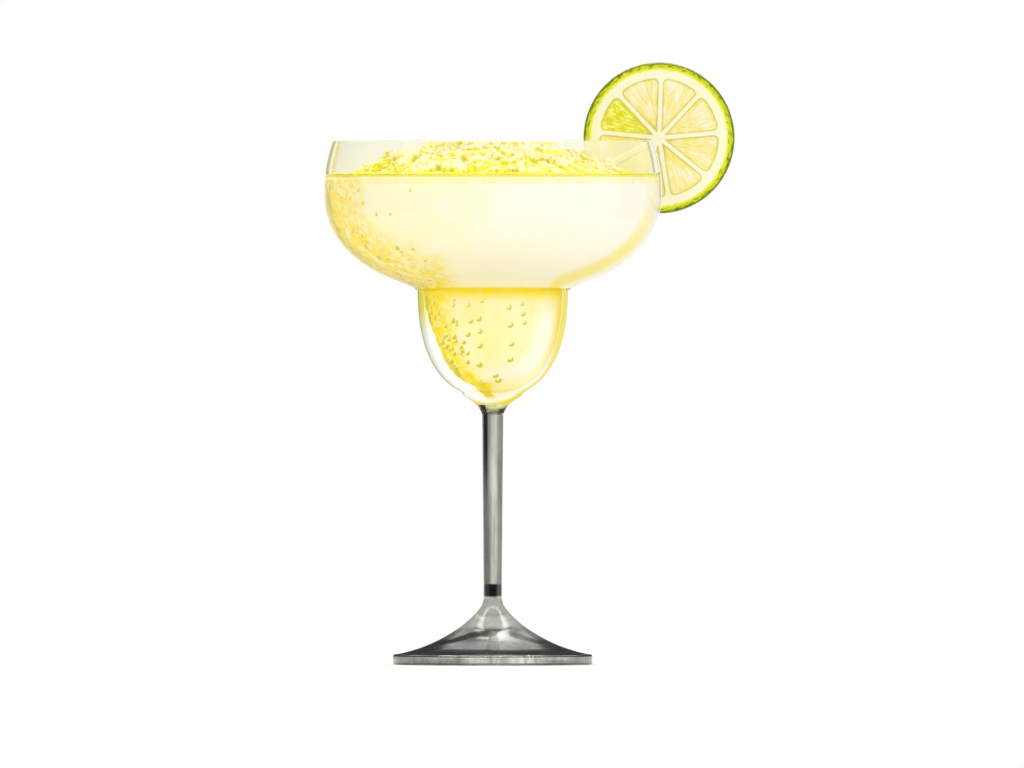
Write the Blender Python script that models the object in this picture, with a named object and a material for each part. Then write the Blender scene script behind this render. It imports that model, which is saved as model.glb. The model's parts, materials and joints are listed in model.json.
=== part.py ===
"""A margarita glass of lemon slush, with a lime wheel pushed onto its rim.

Metres, +Z up. The origin is the middle of the foot's underside, so the glass stands on z = 0 with its axis
on Z. The wheel stands upright across the rim at +X, and its cut faces look along -Y and +Y.

The three solids are the glass, blown in one piece, the slush that fills it, and the wheel.
"""

import math
import random

import bmesh
import bpy
from mathutils import Vector
from mathutils.geometry import delaunay_2d_cdt

MM = 0.001

# Glass: the outside
GLASS_HEIGHT = 181.0 * MM
RIM_RADIUS = 55.2 * MM
BOWL_RADIUS = 58.2 * MM
BOWL_WIDEST_Z = 163.4 * MM
BOWL_DEPTH = 35.7 * MM
BOWL_ROUNDNESS = 2.24
CUP_RADIUS = 26.0 * MM
CUP_SHOULDER_Z = 130.7 * MM
CUP_DEPTH = 38.4 * MM
CUP_ROUNDNESS = 2.42
STEP_BLEND = 7.7 * MM
STEM_TOP_RADIUS = 3.3 * MM
STEM_TOP_Z = 88.0 * MM
STEM_LOW_RADIUS = 2.7 * MM
STEM_LOW_Z = 26.0 * MM
STEM_BLEND = 1.6 * MM
SWELL_REACH = 6.5 * MM
SWELL_LOW_Z = 85.8 * MM
SWELL_HEIGHT = 7.3 * MM
FLARE_TOP_Z = 23.0 * MM
FLARE_REACH = 32.4 * MM
FLARE_HOLLOWNESS = 0.70
FOOT_RADIUS = 34.5 * MM
FOOT_EDGE_HEIGHT = 3.4 * MM
FOOT_EDGE_ROUND = 0.8 * MM

# Glass: the inside
BOWL_WALL = 2.0 * MM
CUP_WALL = 2.6 * MM
CUP_FLOOR_Z = 94.3 * MM

# Slush
FILL_Z = 169.1 * MM
MOUND_HEIGHT = 9.0 * MM
MOUND_RADIUS = 51.0 * MM
MOUND_FLATNESS = 2.4
MOUND_SLOPE = 1.3
LUMP_COUNT = 120
LUMP_RADIUS = (3.5 * MM, 9.0 * MM)
LUMP_STEEPNESS = (0.2, 0.42)
LUMP_FADE = 4.0 * MM
LUMP_SEED = 11

# Lime wheel
WHEEL_RADIUS = 26.1 * MM
WHEEL_THICKNESS = 5.6 * MM
WHEEL_CENTRE = Vector((57.5 * MM, 0.0, 182.1 * MM))
WHEEL_EDGE_ROUND = 0.7 * MM
PULP_RADIUS = 20.6 * MM
PULP_CORNER = 1.9 * MM
PULP_RECESS = 0.4 * MM
MEMBRANE_THICKNESS = 1.5 * MM
MEMBRANE_ANGLES = (5.0, 47.0, 88.0, 133.0, 174.5, 209.0, 244.0, 279.0, 321.0)

# What is cut by a neighbour, or rests on it, keeps this gap
GAP = 0.35 * MM

# How finely the solids are cut into faces
SIDES = 60
INSIDE_RINGS = 19
OUTSIDE_RINGS = 34
RIM_STEPS = 4
SLUSH_SIDE_RINGS = 16
SLUSH_TOP_POINTS = 1100
SLUSH_TOP_MARGIN = 2.0 * MM
WHEEL_EDGE_STEPS = 3
CORNER_STEPS = 4
ARC_STEPS = 5
WALL_CUTTER_STEPS = 12
CURVE_SAMPLES = 1200
TURN_WEIGHT = 12.0 * MM
SHARP_EDGE = math.radians(40)

CUTTER_OVERSHOOT = 1.0 * MM
WALL_CUTTER_DROP = 6.0 * MM
GOLDEN_ANGLE = math.pi * (3.0 - math.sqrt(5.0))
WELD = 1e-7
SEAM_WELD = 1e-6


def rounded_radius(z, centre_z, half_width, half_height, power):
    """Radius at height z of a rounded form that is widest at centre_z: an ellipse where power is 2."""
    share = min(abs(z - centre_z) / half_height, 1.0)
    return half_width * (1.0 - share**power) ** (1.0 / power)


def smooth_greater(a, b, blend):
    """The greater of a and b, with the corner between them rounded over the length blend."""
    share = min(max(0.5 + 0.5 * (a - b) / blend, 0.0), 1.0)
    return b + (a - b) * share + blend * share * (1.0 - share)


def bowl_radius(z, inset):
    """Radius of the upper bowl, taken in by inset from the outside."""
    if z < BOWL_WIDEST_Z:
        return rounded_radius(z, BOWL_WIDEST_Z, BOWL_RADIUS - inset, BOWL_DEPTH - inset, BOWL_ROUNDNESS)
    rise = GLASS_HEIGHT - BOWL_WIDEST_Z
    full_rise = rise / math.sqrt(1.0 - (RIM_RADIUS / BOWL_RADIUS) ** 2)
    return rounded_radius(z, BOWL_WIDEST_Z, BOWL_RADIUS - inset, full_rise, 2.0)


def cup_radius(z, inset, floor_z):
    """Radius of the lower cup, which closes at floor_z."""
    height = min(z, CUP_SHOULDER_Z)
    depth = CUP_SHOULDER_Z - floor_z
    return rounded_radius(height, CUP_SHOULDER_Z, CUP_RADIUS - inset, depth, CUP_ROUNDNESS)


def outer_radius(z):
    """Radius of the glass outside at height z, from the foot's edge to the rim."""
    cup_floor = CUP_SHOULDER_Z - CUP_DEPTH
    vessel = smooth_greater(bowl_radius(z, 0.0), cup_radius(z, 0.0, cup_floor), STEP_BLEND)
    along = min(max((z - STEM_LOW_Z) / (STEM_TOP_Z - STEM_LOW_Z), 0.0), 1.0)
    swell = SWELL_REACH * min(max((z - SWELL_LOW_Z) / SWELL_HEIGHT, 0.0), 1.0) ** 2
    stem = STEM_LOW_RADIUS + (STEM_TOP_RADIUS - STEM_LOW_RADIUS) * along + swell
    flare = 0.0
    if z < FLARE_TOP_Z:
        share = max((z - FOOT_EDGE_HEIGHT) / (FLARE_TOP_Z - FOOT_EDGE_HEIGHT), 0.0)
        flare = FLARE_REACH * (1.0 - share**FLARE_HOLLOWNESS) ** (1.0 / FLARE_HOLLOWNESS)
    return smooth_greater(smooth_greater(vessel, stem, STEM_BLEND), stem + flare, STEM_BLEND)


def inner_radius(z, gap=0.0):
    """Radius of the hollow at height z, or of what fills it with a gap left to the wall."""
    cup = cup_radius(z, CUP_WALL + gap, CUP_FLOOR_Z + gap)
    return smooth_greater(bowl_radius(z, BOWL_WALL + gap), cup, STEP_BLEND)


def even_curve(radius_at, low_z, high_z, count):
    """Points (radius, z) up a turned outline, closer together where it curves."""
    shares = [0.5 - 0.5 * math.cos(math.pi * i / CURVE_SAMPLES) for i in range(CURVE_SAMPLES + 1)]
    heights = [low_z + (high_z - low_z) * share for share in shares]
    points = [Vector((radius_at(z), z)) for z in heights]
    travelled = [0.0]
    heading = (points[1] - points[0]).normalized()
    for before, after in zip(points, points[1:]):
        step = after - before
        turn = heading.angle(step.normalized())
        heading = step.normalized()
        travelled.append(travelled[-1] + step.length + TURN_WEIGHT * turn)
    chosen = []
    i = 0
    for k in range(count):
        target = travelled[-1] * k / (count - 1)
        while travelled[i] < target - WELD:
            i += 1
        chosen.append(points[i])
    return chosen


def foot_top():
    """Height where the foot's upper side runs into the rounding of its edge, found by halving."""
    low, high = FOOT_EDGE_HEIGHT, FLARE_TOP_Z
    while high - low > WELD:
        middle = (low + high) / 2
        if outer_radius(middle) < FOOT_RADIUS - FOOT_EDGE_ROUND:
            high = middle
        else:
            low = middle
    return high


def glass_profile():
    """The glass's half section: up the inside, over the round rim, down the outside and in under the foot."""
    lip = (outer_radius(GLASS_HEIGHT) - inner_radius(GLASS_HEIGHT)) / 2
    lip_z = GLASS_HEIGHT - lip
    inside = even_curve(inner_radius, CUP_FLOOR_Z, lip_z, INSIDE_RINGS)
    inside[0].x = 0.0
    middle = (inner_radius(lip_z) + outer_radius(lip_z)) / 2
    rim = [
        Vector((middle - lip * math.cos(angle), lip_z + lip * math.sin(angle)))
        for angle in (math.pi * k / RIM_STEPS for k in range(1, RIM_STEPS))
    ]
    top_z = foot_top()
    outside = even_curve(outer_radius, top_z, lip_z, OUTSIDE_RINGS)
    corner = FOOT_EDGE_ROUND * (1.0 - math.sqrt(0.5))
    edge = [
        Vector((FOOT_RADIUS - corner, top_z - corner)),
        Vector((FOOT_RADIUS, top_z - FOOT_EDGE_ROUND)),
        Vector((FOOT_RADIUS, FOOT_EDGE_ROUND)),
        Vector((FOOT_RADIUS - corner, corner)),
    ]
    sole = [Vector((FOOT_RADIUS - FOOT_EDGE_ROUND, 0.0)), Vector((0.0, 0.0))]
    return [*inside, *rim, *reversed(outside), *edge, *sole]


def slush_side():
    """The slush's side, from the axis at the bottom of the cup up to its level against the wall."""
    side = even_curve(lambda z: inner_radius(z, GAP), CUP_FLOOR_Z + GAP, FILL_Z, SLUSH_SIDE_RINGS)
    side[0].x = 0.0
    return side


def lumps():
    """Clumps of crushed ice, as (x, y, radius, height), strewn at random over the mound."""
    draw = random.Random(LUMP_SEED)
    found = []
    for _ in range(LUMP_COUNT):
        reach = MOUND_RADIUS * math.sqrt(draw.random())
        angle = draw.uniform(0.0, 2.0 * math.pi)
        radius = draw.uniform(*LUMP_RADIUS)
        height = radius * draw.uniform(*LUMP_STEEPNESS)
        found.append((reach * math.cos(angle), reach * math.sin(angle), radius, height))
    return found


def mound_height(x, y, clumps):
    """Height of the heaped ice above the level at (x, y): a low dome with a clump's cap wherever one is higher."""
    reach = min(math.hypot(x, y) / MOUND_RADIUS, 1.0)
    dome = MOUND_HEIGHT * (1.0 - reach**MOUND_FLATNESS) ** MOUND_SLOPE
    cap = 0.0
    for lump_x, lump_y, radius, height in clumps:
        away = math.hypot(x - lump_x, y - lump_y) / radius
        if away < 1.0:
            cap = max(cap, height * math.sqrt(1.0 - away * away))
    return dome + cap * min(dome / LUMP_FADE, 1.0)


def material(name, colour, roughness, transmission=0.0, ior=1.45):
    made = bpy.data.materials.new(name)
    made.use_nodes = True
    shader = made.node_tree.nodes["Principled BSDF"]
    shader.inputs["Base Color"].default_value = (*colour, 1.0)
    shader.inputs["Roughness"].default_value = roughness
    shader.inputs["Metallic"].default_value = 0.0
    shader.inputs["Transmission Weight"].default_value = transmission
    shader.inputs["IOR"].default_value = ior
    made.diffuse_color = (*colour, 1.0)
    return made


def as_object(name, shape, parent=None, finish=None):
    """A named object that holds the bmesh shape."""
    mesh = bpy.data.meshes.new(name)
    shape.to_mesh(mesh)
    shape.free()
    made = bpy.data.objects.new(name, mesh)
    bpy.context.scene.collection.objects.link(made)
    made.parent = parent
    if finish is None:
        made.hide_render = True
        made.display_type = "WIRE"
    else:
        mesh.materials.append(finish)
        mesh.shade_smooth()
        mesh.set_sharp_from_angle(angle=SHARP_EDGE)
    return made


def turned(profile, closed=False):
    """A bmesh made by turning a half section round Z. A closed outline is joined from its end to its start."""
    shape = bmesh.new()
    corners = [shape.verts.new((point.x, 0.0, point.y)) for point in profile]
    pairs = list(zip(corners, corners[1:]))
    if closed:
        pairs.append((corners[-1], corners[0]))
    edges = [shape.edges.new(pair) for pair in pairs]
    bmesh.ops.spin(
        shape,
        geom=[*corners, *edges],
        cent=(0.0, 0.0, 0.0),
        axis=(0.0, 0.0, 1.0),
        angle=2.0 * math.pi,
        steps=SIDES,
    )
    bmesh.ops.remove_doubles(shape, verts=shape.verts, dist=SEAM_WELD)
    bmesh.ops.recalc_face_normals(shape, faces=shape.faces)
    return shape


def cut(target, cutter):
    """Takes the cutter's shape out of the target."""
    modifier = target.modifiers.new("cut_by_" + cutter.name, "BOOLEAN")
    modifier.operation = "DIFFERENCE"
    modifier.object = cutter
    modifier.solver = "EXACT"


def make_glass():
    finish = material("clear_glass", (0.93, 0.95, 0.93), 0.02, transmission=1.0, ior=1.5)
    return as_object("glass", turned(glass_profile()), finish=finish)


def sunflower(radius, count):
    """Points spread evenly over a disc: each a golden angle on from the last, and further out."""
    reaches = [radius * math.sqrt((i + 0.5) / count) for i in range(count)]
    turns = [i * GOLDEN_ANGLE for i in range(count)]
    return [Vector((r * math.cos(a), r * math.sin(a))) for r, a in zip(reaches, turns)]


def make_slush():
    """The drink up to its level, closed by a heap of crushed ice over evenly spread points."""
    finish = material("lemon_slush", (0.98, 0.93, 0.62), 0.35)
    shape = turned(slush_side())
    ring = sorted(
        (vert for vert in shape.verts if vert.co.z > FILL_Z - WELD),
        key=lambda vert: math.atan2(vert.co.y, vert.co.x),
    )
    clumps = lumps()
    inside = sunflower(ring[0].co.xy.length - SLUSH_TOP_MARGIN, SLUSH_TOP_POINTS)
    raised = [
        shape.verts.new((point.x, point.y, FILL_Z + mound_height(point.x, point.y, clumps)))
        for point in inside
    ]
    corners = [*ring, *raised]
    flat = [vert.co.xy for vert in corners]
    outline = [list(range(len(ring)))]
    triangles = delaunay_2d_cdt(flat, [], outline, 1, WELD)[2]
    for triangle in triangles:
        shape.faces.new([corners[i] for i in triangle])
    bmesh.ops.recalc_face_normals(shape, faces=shape.faces)
    return as_object("slush", shape, finish=finish)


def disc(radius, thickness, edge_round):
    """A disc with rounded edges, its axis on Z and its middle at the origin."""
    half = thickness / 2
    side = radius - edge_round
    profile = [Vector((0.0, half)), Vector((side, half))]
    profile += [
        Vector((side + edge_round * math.sin(a), half - edge_round * (1.0 - math.cos(a))))
        for a in (math.pi / 2 * k / WHEEL_EDGE_STEPS for k in range(1, WHEEL_EDGE_STEPS + 1))
    ]
    profile += [Vector((point.x, -point.y)) for point in reversed(profile)]
    return turned(profile)


def corner_curve(start, corner, end):
    """Points along a quadratic curve from start to end that leans into the corner."""
    return [
        start * (1 - t) ** 2 + corner * 2 * t * (1 - t) + end * t**2
        for t in (k / CORNER_STEPS for k in range(CORNER_STEPS + 1))
    ]


def segment_outline(first, last):
    """Outline of the pulp between two membranes: a point near the core and two round outer corners."""
    inset = MEMBRANE_THICKNESS / 2
    near = inset / math.tan((last - first) / 2)
    far = math.sqrt(PULP_RADIUS**2 - inset**2)
    lean = math.asin(inset / PULP_RADIUS)
    turn = PULP_CORNER / PULP_RADIUS

    def beside(angle, hand, along):
        across = Vector((-math.sin(angle), math.cos(angle))) * inset * hand
        return Vector((math.cos(angle), math.sin(angle))) * along + across

    def on_arc(angle):
        return Vector((math.cos(angle), math.sin(angle))) * PULP_RADIUS

    arc_start = first + lean + turn
    arc_end = last - lean - turn
    before = far - PULP_CORNER
    first_corner = corner_curve(beside(first, 1, before), beside(first, 1, far), on_arc(arc_start))
    arc = [on_arc(arc_start + (arc_end - arc_start) * k / ARC_STEPS) for k in range(1, ARC_STEPS)]
    last_corner = corner_curve(on_arc(arc_end), beside(last, -1, far), beside(last, -1, before))
    return [beside(first, 1, near), *first_corner, *arc, *last_corner]


def make_segment_cutters(parent):
    """Shallow wedges, one for each pulp segment on each face, which take the pulp a little below the pith."""
    shape = bmesh.new()
    deep = WHEEL_THICKNESS / 2 - PULP_RECESS
    clear = WHEEL_THICKNESS / 2 + CUTTER_OVERSHOOT
    ends = [*MEMBRANE_ANGLES[1:], MEMBRANE_ANGLES[0] + 360.0]
    for first, last in zip(MEMBRANE_ANGLES, ends):
        outline = segment_outline(math.radians(first), math.radians(last))
        for low, high in ((deep, clear), (-clear, -deep)):
            base = shape.faces.new([shape.verts.new((p.x, p.y, low)) for p in outline])
            raised = bmesh.ops.extrude_face_region(shape, geom=[base])["geom"]
            moved = [item for item in raised if isinstance(item, bmesh.types.BMVert)]
            bmesh.ops.translate(shape, verts=moved, vec=(0.0, 0.0, high - low))
    bmesh.ops.recalc_face_normals(shape, faces=shape.faces)
    return as_object("segment_cutters", shape, parent=parent)


def make_wall_cutter():
    """The upper bowl's wall, grown by the gap on both sides and over the rim: it cuts the wheel's slit."""
    low_z = WHEEL_CENTRE.z - WHEEL_RADIUS - WALL_CUTTER_DROP
    high_z = GLASS_HEIGHT + GAP
    shares = [k / WALL_CUTTER_STEPS for k in range(WALL_CUTTER_STEPS + 1)]
    heights = [low_z + (high_z - low_z) * share for share in shares]
    inside = [Vector((inner_radius(z, GAP), z)) for z in heights]
    outside = [Vector((outer_radius(z) + GAP, z)) for z in reversed(heights)]
    return as_object("wall_cutter", turned([*inside, *outside], closed=True))


def make_wheel():
    """The lime wheel: a disc with sunk pulp on both faces and a slit that follows the glass wall."""
    finish = material("lime", (0.93, 0.91, 0.52), 0.4)
    frame = bpy.data.objects.new("wheel_frame", None)
    bpy.context.scene.collection.objects.link(frame)
    frame.location = WHEEL_CENTRE
    frame.rotation_euler = (math.radians(90), 0.0, 0.0)
    wheel = as_object("lime_wheel", disc(WHEEL_RADIUS, WHEEL_THICKNESS, WHEEL_EDGE_ROUND), frame, finish)
    cut(wheel, make_segment_cutters(frame))
    cut(wheel, make_wall_cutter())
    pocket = disc(WHEEL_RADIUS + GAP, WHEEL_THICKNESS + 2 * GAP, WHEEL_EDGE_ROUND)
    return as_object("wheel_pocket_cutter", pocket, parent=frame)


def main():
    for old in list(bpy.data.objects):
        bpy.data.objects.remove(old)
    make_glass()
    slush = make_slush()
    cut(slush, make_wheel())
    bpy.context.view_layer.update()


main()
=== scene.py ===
# %% [markdown]
# Lemon slush in a margarita glass
#
# A stemmed glass holds pale lemon slush, heaped up to the rim, and a wheel of lime is pushed onto the rim.
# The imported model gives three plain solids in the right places. This lesson dresses them: each one is
# replaced by a finer surface worked out from the same named sizes, and each finish is made of shader nodes.

# %% The frame
import json
import math
import random

import bpy
import numpy as np
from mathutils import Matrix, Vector

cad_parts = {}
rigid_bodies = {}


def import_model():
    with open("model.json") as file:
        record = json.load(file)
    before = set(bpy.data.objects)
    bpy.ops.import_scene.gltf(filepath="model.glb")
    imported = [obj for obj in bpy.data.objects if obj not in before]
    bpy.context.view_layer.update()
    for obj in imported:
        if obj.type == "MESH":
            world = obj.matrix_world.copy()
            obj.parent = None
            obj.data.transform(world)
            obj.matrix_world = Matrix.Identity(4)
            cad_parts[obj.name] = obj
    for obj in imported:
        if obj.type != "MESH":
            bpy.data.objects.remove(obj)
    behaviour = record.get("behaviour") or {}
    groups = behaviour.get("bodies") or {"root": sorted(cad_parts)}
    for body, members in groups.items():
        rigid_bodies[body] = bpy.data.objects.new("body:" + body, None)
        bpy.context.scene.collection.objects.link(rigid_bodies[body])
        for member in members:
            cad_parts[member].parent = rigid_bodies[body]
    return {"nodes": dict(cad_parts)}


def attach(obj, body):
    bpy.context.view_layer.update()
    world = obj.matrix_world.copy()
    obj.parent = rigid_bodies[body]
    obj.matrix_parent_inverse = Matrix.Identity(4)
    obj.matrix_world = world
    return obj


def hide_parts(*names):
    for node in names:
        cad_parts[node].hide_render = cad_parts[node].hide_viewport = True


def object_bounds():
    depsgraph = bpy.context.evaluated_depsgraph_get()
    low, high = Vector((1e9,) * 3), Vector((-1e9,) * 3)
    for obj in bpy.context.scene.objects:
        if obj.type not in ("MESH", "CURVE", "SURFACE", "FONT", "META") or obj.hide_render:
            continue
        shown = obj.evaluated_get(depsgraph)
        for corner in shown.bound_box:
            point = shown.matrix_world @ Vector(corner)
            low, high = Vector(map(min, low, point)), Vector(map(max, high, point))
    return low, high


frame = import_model()
cad_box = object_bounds()
print("solids:", sorted(frame["nodes"]))

# %% [markdown]
# Sizes
#
# All lengths are metres. The glass is a turned form: a wide bowl and a narrow cup, each a rounded curve,
# joined by a soft step, then a stem that flares into the foot. The solids use the same values, so what is
# made here lies exactly where they are.

# %% Sizes of the glass, the slush and the wheel
MM = 0.001

GLASS_HEIGHT = 181.0 * MM
RIM_RADIUS = 55.2 * MM
BOWL_RADIUS = 58.2 * MM
BOWL_WIDEST_Z = 163.4 * MM
BOWL_DEPTH = 35.7 * MM
BOWL_ROUNDNESS = 2.24
CUP_RADIUS = 26.0 * MM
CUP_SHOULDER_Z = 130.7 * MM
CUP_DEPTH = 38.4 * MM
CUP_ROUNDNESS = 2.42
STEP_BLEND = 7.7 * MM
STEM_TOP_RADIUS = 3.3 * MM
STEM_TOP_Z = 88.0 * MM
STEM_LOW_RADIUS = 2.7 * MM
STEM_LOW_Z = 26.0 * MM
STEM_BLEND = 1.6 * MM
SWELL_REACH = 6.5 * MM
SWELL_LOW_Z = 85.8 * MM
SWELL_HEIGHT = 7.3 * MM
FLARE_TOP_Z = 23.0 * MM
FLARE_REACH = 32.4 * MM
FLARE_HOLLOWNESS = 0.70
FOOT_RADIUS = 34.5 * MM
FOOT_EDGE_HEIGHT = 3.4 * MM
FOOT_EDGE_ROUND = 0.8 * MM
BOWL_WALL = 2.0 * MM
CUP_WALL = 2.6 * MM
CUP_FLOOR_Z = 94.3 * MM

FILL_Z = 169.1 * MM
MOUND_HEIGHT = 9.0 * MM
MOUND_RADIUS = 51.0 * MM
MOUND_FLATNESS = 2.4
MOUND_SLOPE = 1.3
LUMP_COUNT = 120
LUMP_RADIUS = (3.5 * MM, 9.0 * MM)
LUMP_STEEPNESS = (0.2, 0.42)
LUMP_FADE = 4.0 * MM
LUMP_SEED = 11

WHEEL_RADIUS = 26.1 * MM
WHEEL_THICKNESS = 5.6 * MM
WHEEL_CENTRE = np.array((57.5 * MM, 0.0, 182.1 * MM))
WHEEL_EDGE_ROUND = 0.7 * MM
PULP_RADIUS = 20.6 * MM
PULP_CORNER = 1.9 * MM
PULP_RECESS = 0.4 * MM
MEMBRANE_THICKNESS = 1.5 * MM
MEMBRANE_ANGLES = np.radians((5.0, 47.0, 88.0, 133.0, 174.5, 209.0, 244.0, 279.0, 321.0))
GAP = 0.35 * MM

print("overall:", [round(float(high - low) / MM, 1) for low, high in zip(*cad_box)], "mm")


# %% [markdown]
# Outlines
#
# Every radius here is a formula in the height, so it takes a whole array of heights at once.

# %% Outlines of the glass and its hollow
def rounded_radius(z, centre_z, half_width, half_height, power):
    """Half the width times (1 - share^power)^(1/power), where share is the way from the middle to an end."""
    share = np.minimum(np.abs(z - centre_z) / half_height, 1.0)
    return half_width * (1.0 - share**power) ** (1.0 / power)


def smooth_greater(a, b, blend):
    """The greater of a and b, with the corner between them rounded over the length blend."""
    share = np.clip(0.5 + 0.5 * (a - b) / blend, 0.0, 1.0)
    return b + (a - b) * share + blend * share * (1.0 - share)


def bowl_radius(z, inset):
    """Below its widest place a rounded form, above it an ellipse that reaches the rim."""
    rise = (GLASS_HEIGHT - BOWL_WIDEST_Z) / math.sqrt(1.0 - (RIM_RADIUS / BOWL_RADIUS) ** 2)
    width = BOWL_RADIUS - inset
    low = rounded_radius(z, BOWL_WIDEST_Z, width, BOWL_DEPTH - inset, BOWL_ROUNDNESS)
    return np.where(z < BOWL_WIDEST_Z, low, rounded_radius(z, BOWL_WIDEST_Z, width, rise, 2.0))


def cup_radius(z, inset, floor_z):
    """A rounded form that closes at floor_z and stays straight above its shoulder."""
    height = np.minimum(z, CUP_SHOULDER_Z)
    depth = CUP_SHOULDER_Z - floor_z
    return rounded_radius(height, CUP_SHOULDER_Z, CUP_RADIUS - inset, depth, CUP_ROUNDNESS)


def outer_radius(z):
    """The greatest of bowl, cup, stem and foot, with the corners between them rounded."""
    cup = cup_radius(z, 0.0, CUP_SHOULDER_Z - CUP_DEPTH)
    vessel = smooth_greater(bowl_radius(z, 0.0), cup, STEP_BLEND)
    along = np.clip((z - STEM_LOW_Z) / (STEM_TOP_Z - STEM_LOW_Z), 0.0, 1.0)
    swell = SWELL_REACH * np.clip((z - SWELL_LOW_Z) / SWELL_HEIGHT, 0.0, 1.0) ** 2
    stem = STEM_LOW_RADIUS + (STEM_TOP_RADIUS - STEM_LOW_RADIUS) * along + swell
    share = np.clip((z - FOOT_EDGE_HEIGHT) / (FLARE_TOP_Z - FOOT_EDGE_HEIGHT), 0.0, 1.0)
    flare = FLARE_REACH * (1.0 - share**FLARE_HOLLOWNESS) ** (1.0 / FLARE_HOLLOWNESS)
    return smooth_greater(smooth_greater(vessel, stem, STEM_BLEND), stem + flare, STEM_BLEND)


def inner_radius(z, gap=0.0):
    """The hollow's radius, or that of a filling that leaves a gap to the wall."""
    cup = cup_radius(z, CUP_WALL + gap, CUP_FLOOR_Z + gap)
    return smooth_greater(bowl_radius(z, BOWL_WALL + gap), cup, STEP_BLEND)


CURVE_SAMPLES = 6000
TURN_WEIGHT = 12.0 * MM


def even_heights(radius_at, low_z, high_z, count):
    """Heights spaced evenly by length along the outline plus a share for its turning."""
    share = 0.5 - 0.5 * np.cos(np.linspace(0.0, math.pi, CURVE_SAMPLES))
    z = low_z + (high_z - low_z) * share
    step_r = np.diff(radius_at(z))
    step_z = np.diff(z)
    heading = np.unwrap(np.arctan2(step_z, step_r))
    turning = np.abs(np.diff(heading, prepend=heading[0]))
    travelled = np.append(0.0, np.cumsum(np.hypot(step_r, step_z) + TURN_WEIGHT * turning))
    return np.interp(np.linspace(0.0, travelled[-1], count), travelled, z)


print("bowl across:", round(2 * float(outer_radius(np.array(BOWL_WIDEST_Z))) / MM, 1), "mm")


# %% [markdown]
# Meshes from arrays
#
# A surface is a grid of points with rows and columns. Its faces are the quads between neighbouring
# points, so they follow from the grid's size alone. A turned form closes its columns into a ring and
# closes its ends with one point each, the poles.

# %% Helpers that turn grids into meshes
def ring_quads(rows, columns):
    """Quads between neighbouring rows of a grid whose columns close into a ring."""
    row, column = np.meshgrid(np.arange(rows - 1), np.arange(columns), indexing="ij")
    after = (column + 1) % columns
    low, high = row * columns, (row + 1) * columns
    quads = (low + column, low + after, high + after, high + column)
    return np.stack(quads, axis=-1).reshape(-1, 4)


def fan(ring, pole, flip=False):
    """Triangles from a ring of points to one pole."""
    triangles = np.stack((ring, np.roll(ring, -1), np.full(len(ring), pole)), axis=-1)
    return triangles[:, ::-1] if flip else triangles


def new_mesh(name, corners, *face_groups):
    """A mesh from an array of points and arrays of faces, one column for each corner of a face."""
    mesh = bpy.data.meshes.new(name)
    loops = np.concatenate([faces.ravel() for faces in face_groups])
    sizes = np.concatenate([np.full(len(faces), faces.shape[1]) for faces in face_groups])
    mesh.vertices.add(len(corners))
    mesh.vertices.foreach_set("co", corners.astype(np.float32).ravel())
    mesh.loops.add(len(loops))
    mesh.loops.foreach_set("vertex_index", loops.astype(np.int32))
    mesh.polygons.add(len(sizes))
    mesh.polygons.foreach_set("loop_start", (np.cumsum(sizes) - sizes).astype(np.int32))
    mesh.update(calc_edges=True)
    mesh.validate()
    mesh.shade_smooth()
    return mesh


def mark(mesh, name, values):
    """Keeps one number for each point of the mesh, for its material to read."""
    attribute = mesh.attributes.new(name, "FLOAT", "POINT")
    attribute.data.foreach_set("value", np.asarray(values, np.float32).ravel())


def place(mesh, slot, *finishes, stands_for=None):
    """Shows a mesh as a piece that rides with the glass, in its finishes."""
    piece = bpy.data.objects.new(mesh.name, mesh)
    bpy.context.scene.collection.objects.link(piece)
    for finish in finishes:
        mesh.materials.append(finish)
    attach(piece, "root")
    if stands_for:
        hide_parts(stands_for)
    triangles = sum(len(face.vertices) - 2 for face in mesh.polygons)
    print(mesh.name, triangles, "triangles")


def turned(name, radius, z, sides, low_pole_z, high_pole_z):
    """A profile turned round Z: x = r cos a, y = r sin a. It runs from a low pole round to a high pole."""
    angle = np.linspace(0.0, 2.0 * math.pi, sides, endpoint=False)
    rows = len(z)
    grid = np.empty((rows, sides, 3))
    grid[..., 0] = radius[:, None] * np.cos(angle)
    grid[..., 1] = radius[:, None] * np.sin(angle)
    grid[..., 2] = z[:, None]
    corners = np.concatenate((grid.reshape(-1, 3), [(0.0, 0.0, low_pole_z), (0.0, 0.0, high_pole_z)]))
    low_ring = np.arange(sides)
    low_fan = fan(low_ring, rows * sides, flip=True)
    high_fan = fan(low_ring + (rows - 1) * sides, rows * sides + 1)
    return new_mesh(name, corners, ring_quads(rows, sides), low_fan, high_fan)


def smooth_step(values, low, high):
    """0 below low and 1 above high, with a soft rise between them. It falls where high is the smaller."""
    share = np.clip((values - low) / (high - low), 0.0, 1.0)
    return share * share * (3.0 - 2.0 * share)


# %% [markdown]
# Shader maths
#
# A Wire is one output socket of a material. Its operators add Math nodes, so a mask can be written as a
# formula. Every other node comes from Paint.node.

# %% Helpers that write shaders
def srgb(red, green, blue):
    """A colour as screens name it, 0 to 255, turned into the linear light that shaders use."""
    share = np.array((red, green, blue)) / 255.0
    linear = np.where(share <= 0.04045, share / 12.92, ((share + 0.055) / 1.055) ** 2.4)
    return (*(float(value) for value in linear), 1.0)


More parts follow.
